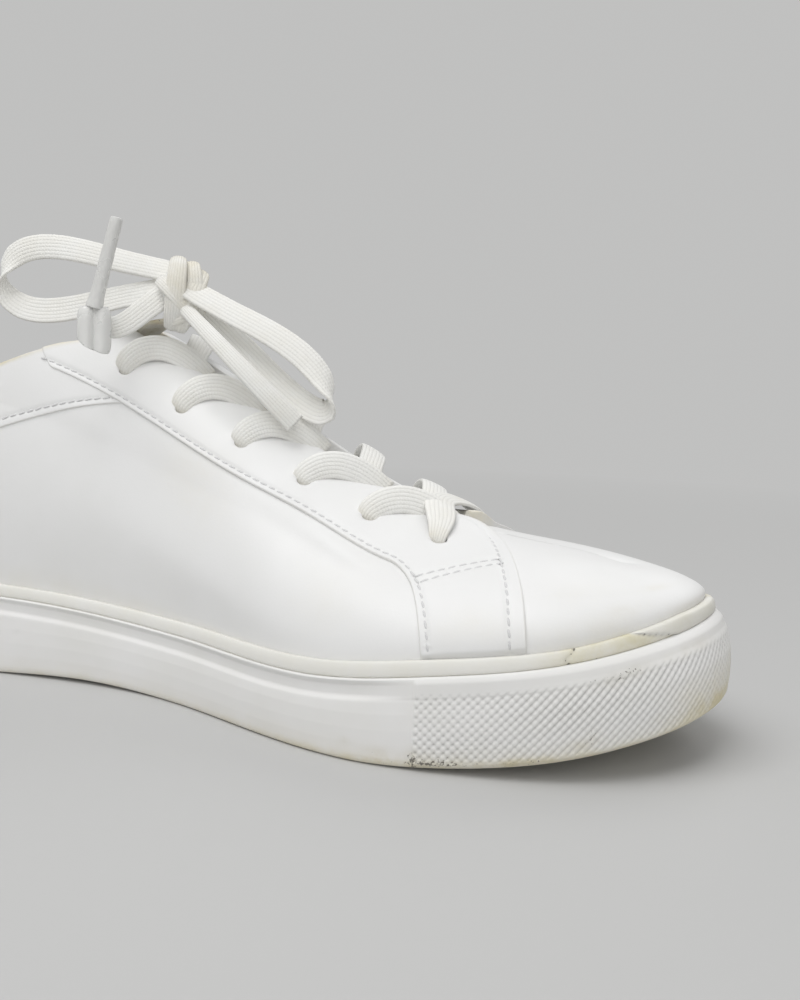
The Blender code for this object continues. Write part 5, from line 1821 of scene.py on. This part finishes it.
def makeStudio():
    size = studioSizes
    material, tree, shader, place = newMaterial("studioPaper", 0.9)
    shader.inputs["Specular IOR Level"].default_value = 0.1
    shade = useMix(tree, useNoise(tree, place, 1.5, 2.0), coatColours["floor"],
        tuple(c * 1.01 for c in coatColours["floor"][:3]) + (1,))
    tree.links.new(shade, shader.inputs["Base Color"])
    # away from the shoe the paper keeps one tone, to the camera and in reflections
    far = useRange(tree, addNode(tree, "ShaderNodeVectorMath", {0: place},
        operation="LENGTH").outputs["Value"], *size["evenFrom"])
    rays = tree.nodes.new("ShaderNodeLightPath").outputs
    seen = useMath(tree, "MAXIMUM", rays["Is Camera Ray"],
        useMath(tree, "MAXIMUM", rays["Is Glossy Ray"], rays["Is Transmission Ray"]))
    even = addNode(tree, "ShaderNodeEmission", {"Color": coatColours["backdrop"], "Strength": 1.0})
    blend = addNode(tree, "ShaderNodeMixShader",
        {0: useMath(tree, "MULTIPLY", far, seen), 1: shader.outputs[0], 2: even.outputs[0]})
    tree.links.new(blend.outputs[0], tree.nodes["Material Output"].inputs["Surface"])
    back = Vector((-math.sin(math.radians(cameraView["azimuth"])),
        math.cos(math.radians(cameraView["azimuth"])), 0))
    aside = Vector((back.y, -back.x, 0))
    profile = [(-size["wallAt"], 0.0), (size["wallAt"] - size["bend"], 0.0)]
    for k in range(1, 17):
        a = math.radians(90 * k / 16)
        profile.append((size["wallAt"] - size["bend"] + size["bend"] * math.sin(a),
            size["bend"] * (1 - math.cos(a))))
    profile.append((size["wallAt"], size["wallUp"]))
    mesh = bpy.data.meshes.new("studioSweep")
    verts = []
    for way, up in profile:
        for sideways in (-4.5, 4.5):
            verts.append(back * way + aside * sideways + Vector((0, 0, up)))
    faces = [(2 * i, 2 * i + 1, 2 * i + 3, 2 * i + 2) for i in range(len(profile) - 1)]
    mesh.from_pydata(verts, [], faces)
    mesh.materials.append(material)
    mesh.shade_smooth()
    sweep = bpy.data.objects.new("studioSweep", mesh)
    bpy.context.scene.collection.objects.link(sweep)


lampTable = (  # name, place, aim, size, watts
    ("keyLamp", (-0.25, -0.55, 1.5), (0.0, 0.0, 0.05), 1.2, 15.5),
    ("fillLamp", (0.75, -1.4, 0.7), (0.05, 0.0, 0.05), 1.6, 8.0),
    ("backLamp", (0.5, 1.2, 1.3), (0.0, 0.0, 0.05), 1.2, 7.0),
)


def makeLamps():
    for name, place, aim, size, watts in lampTable:
        data = bpy.data.lights.new(name, "AREA")
        data.energy = watts
        data.size = size
        lamp = bpy.data.objects.new(name, data)
        lamp.location = place
        lamp.rotation_euler = (Vector(aim) - Vector(place)).to_track_quat("-Z", "Y").to_euler()
        bpy.context.scene.collection.objects.link(lamp)
    world = bpy.data.worlds.new("studioWorld")
    world.use_nodes = True
    world.node_tree.nodes["Background"].inputs["Color"].default_value = (1.0, 1.0, 1.0, 1)
    world.node_tree.nodes["Background"].inputs["Strength"].default_value = 0.38
    bpy.context.scene.world = world
    bpy.context.scene.view_settings.view_transform = "Standard"


makeStudio()
makeLamps()
print("studio made")

hiddenFinish = {"cup_sole": wallRubber, "foxing_strip": tapeRubber, "insole": insoleCloth,
    "aglet_rear": agletFilm}
for name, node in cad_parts.items():  # a hidden CAD node still carries a real finish
    for place in node.material_slots:
        place.material = laceCotton if name.startswith("lace") else hiddenFinish.get(name,
            coatedLeather)
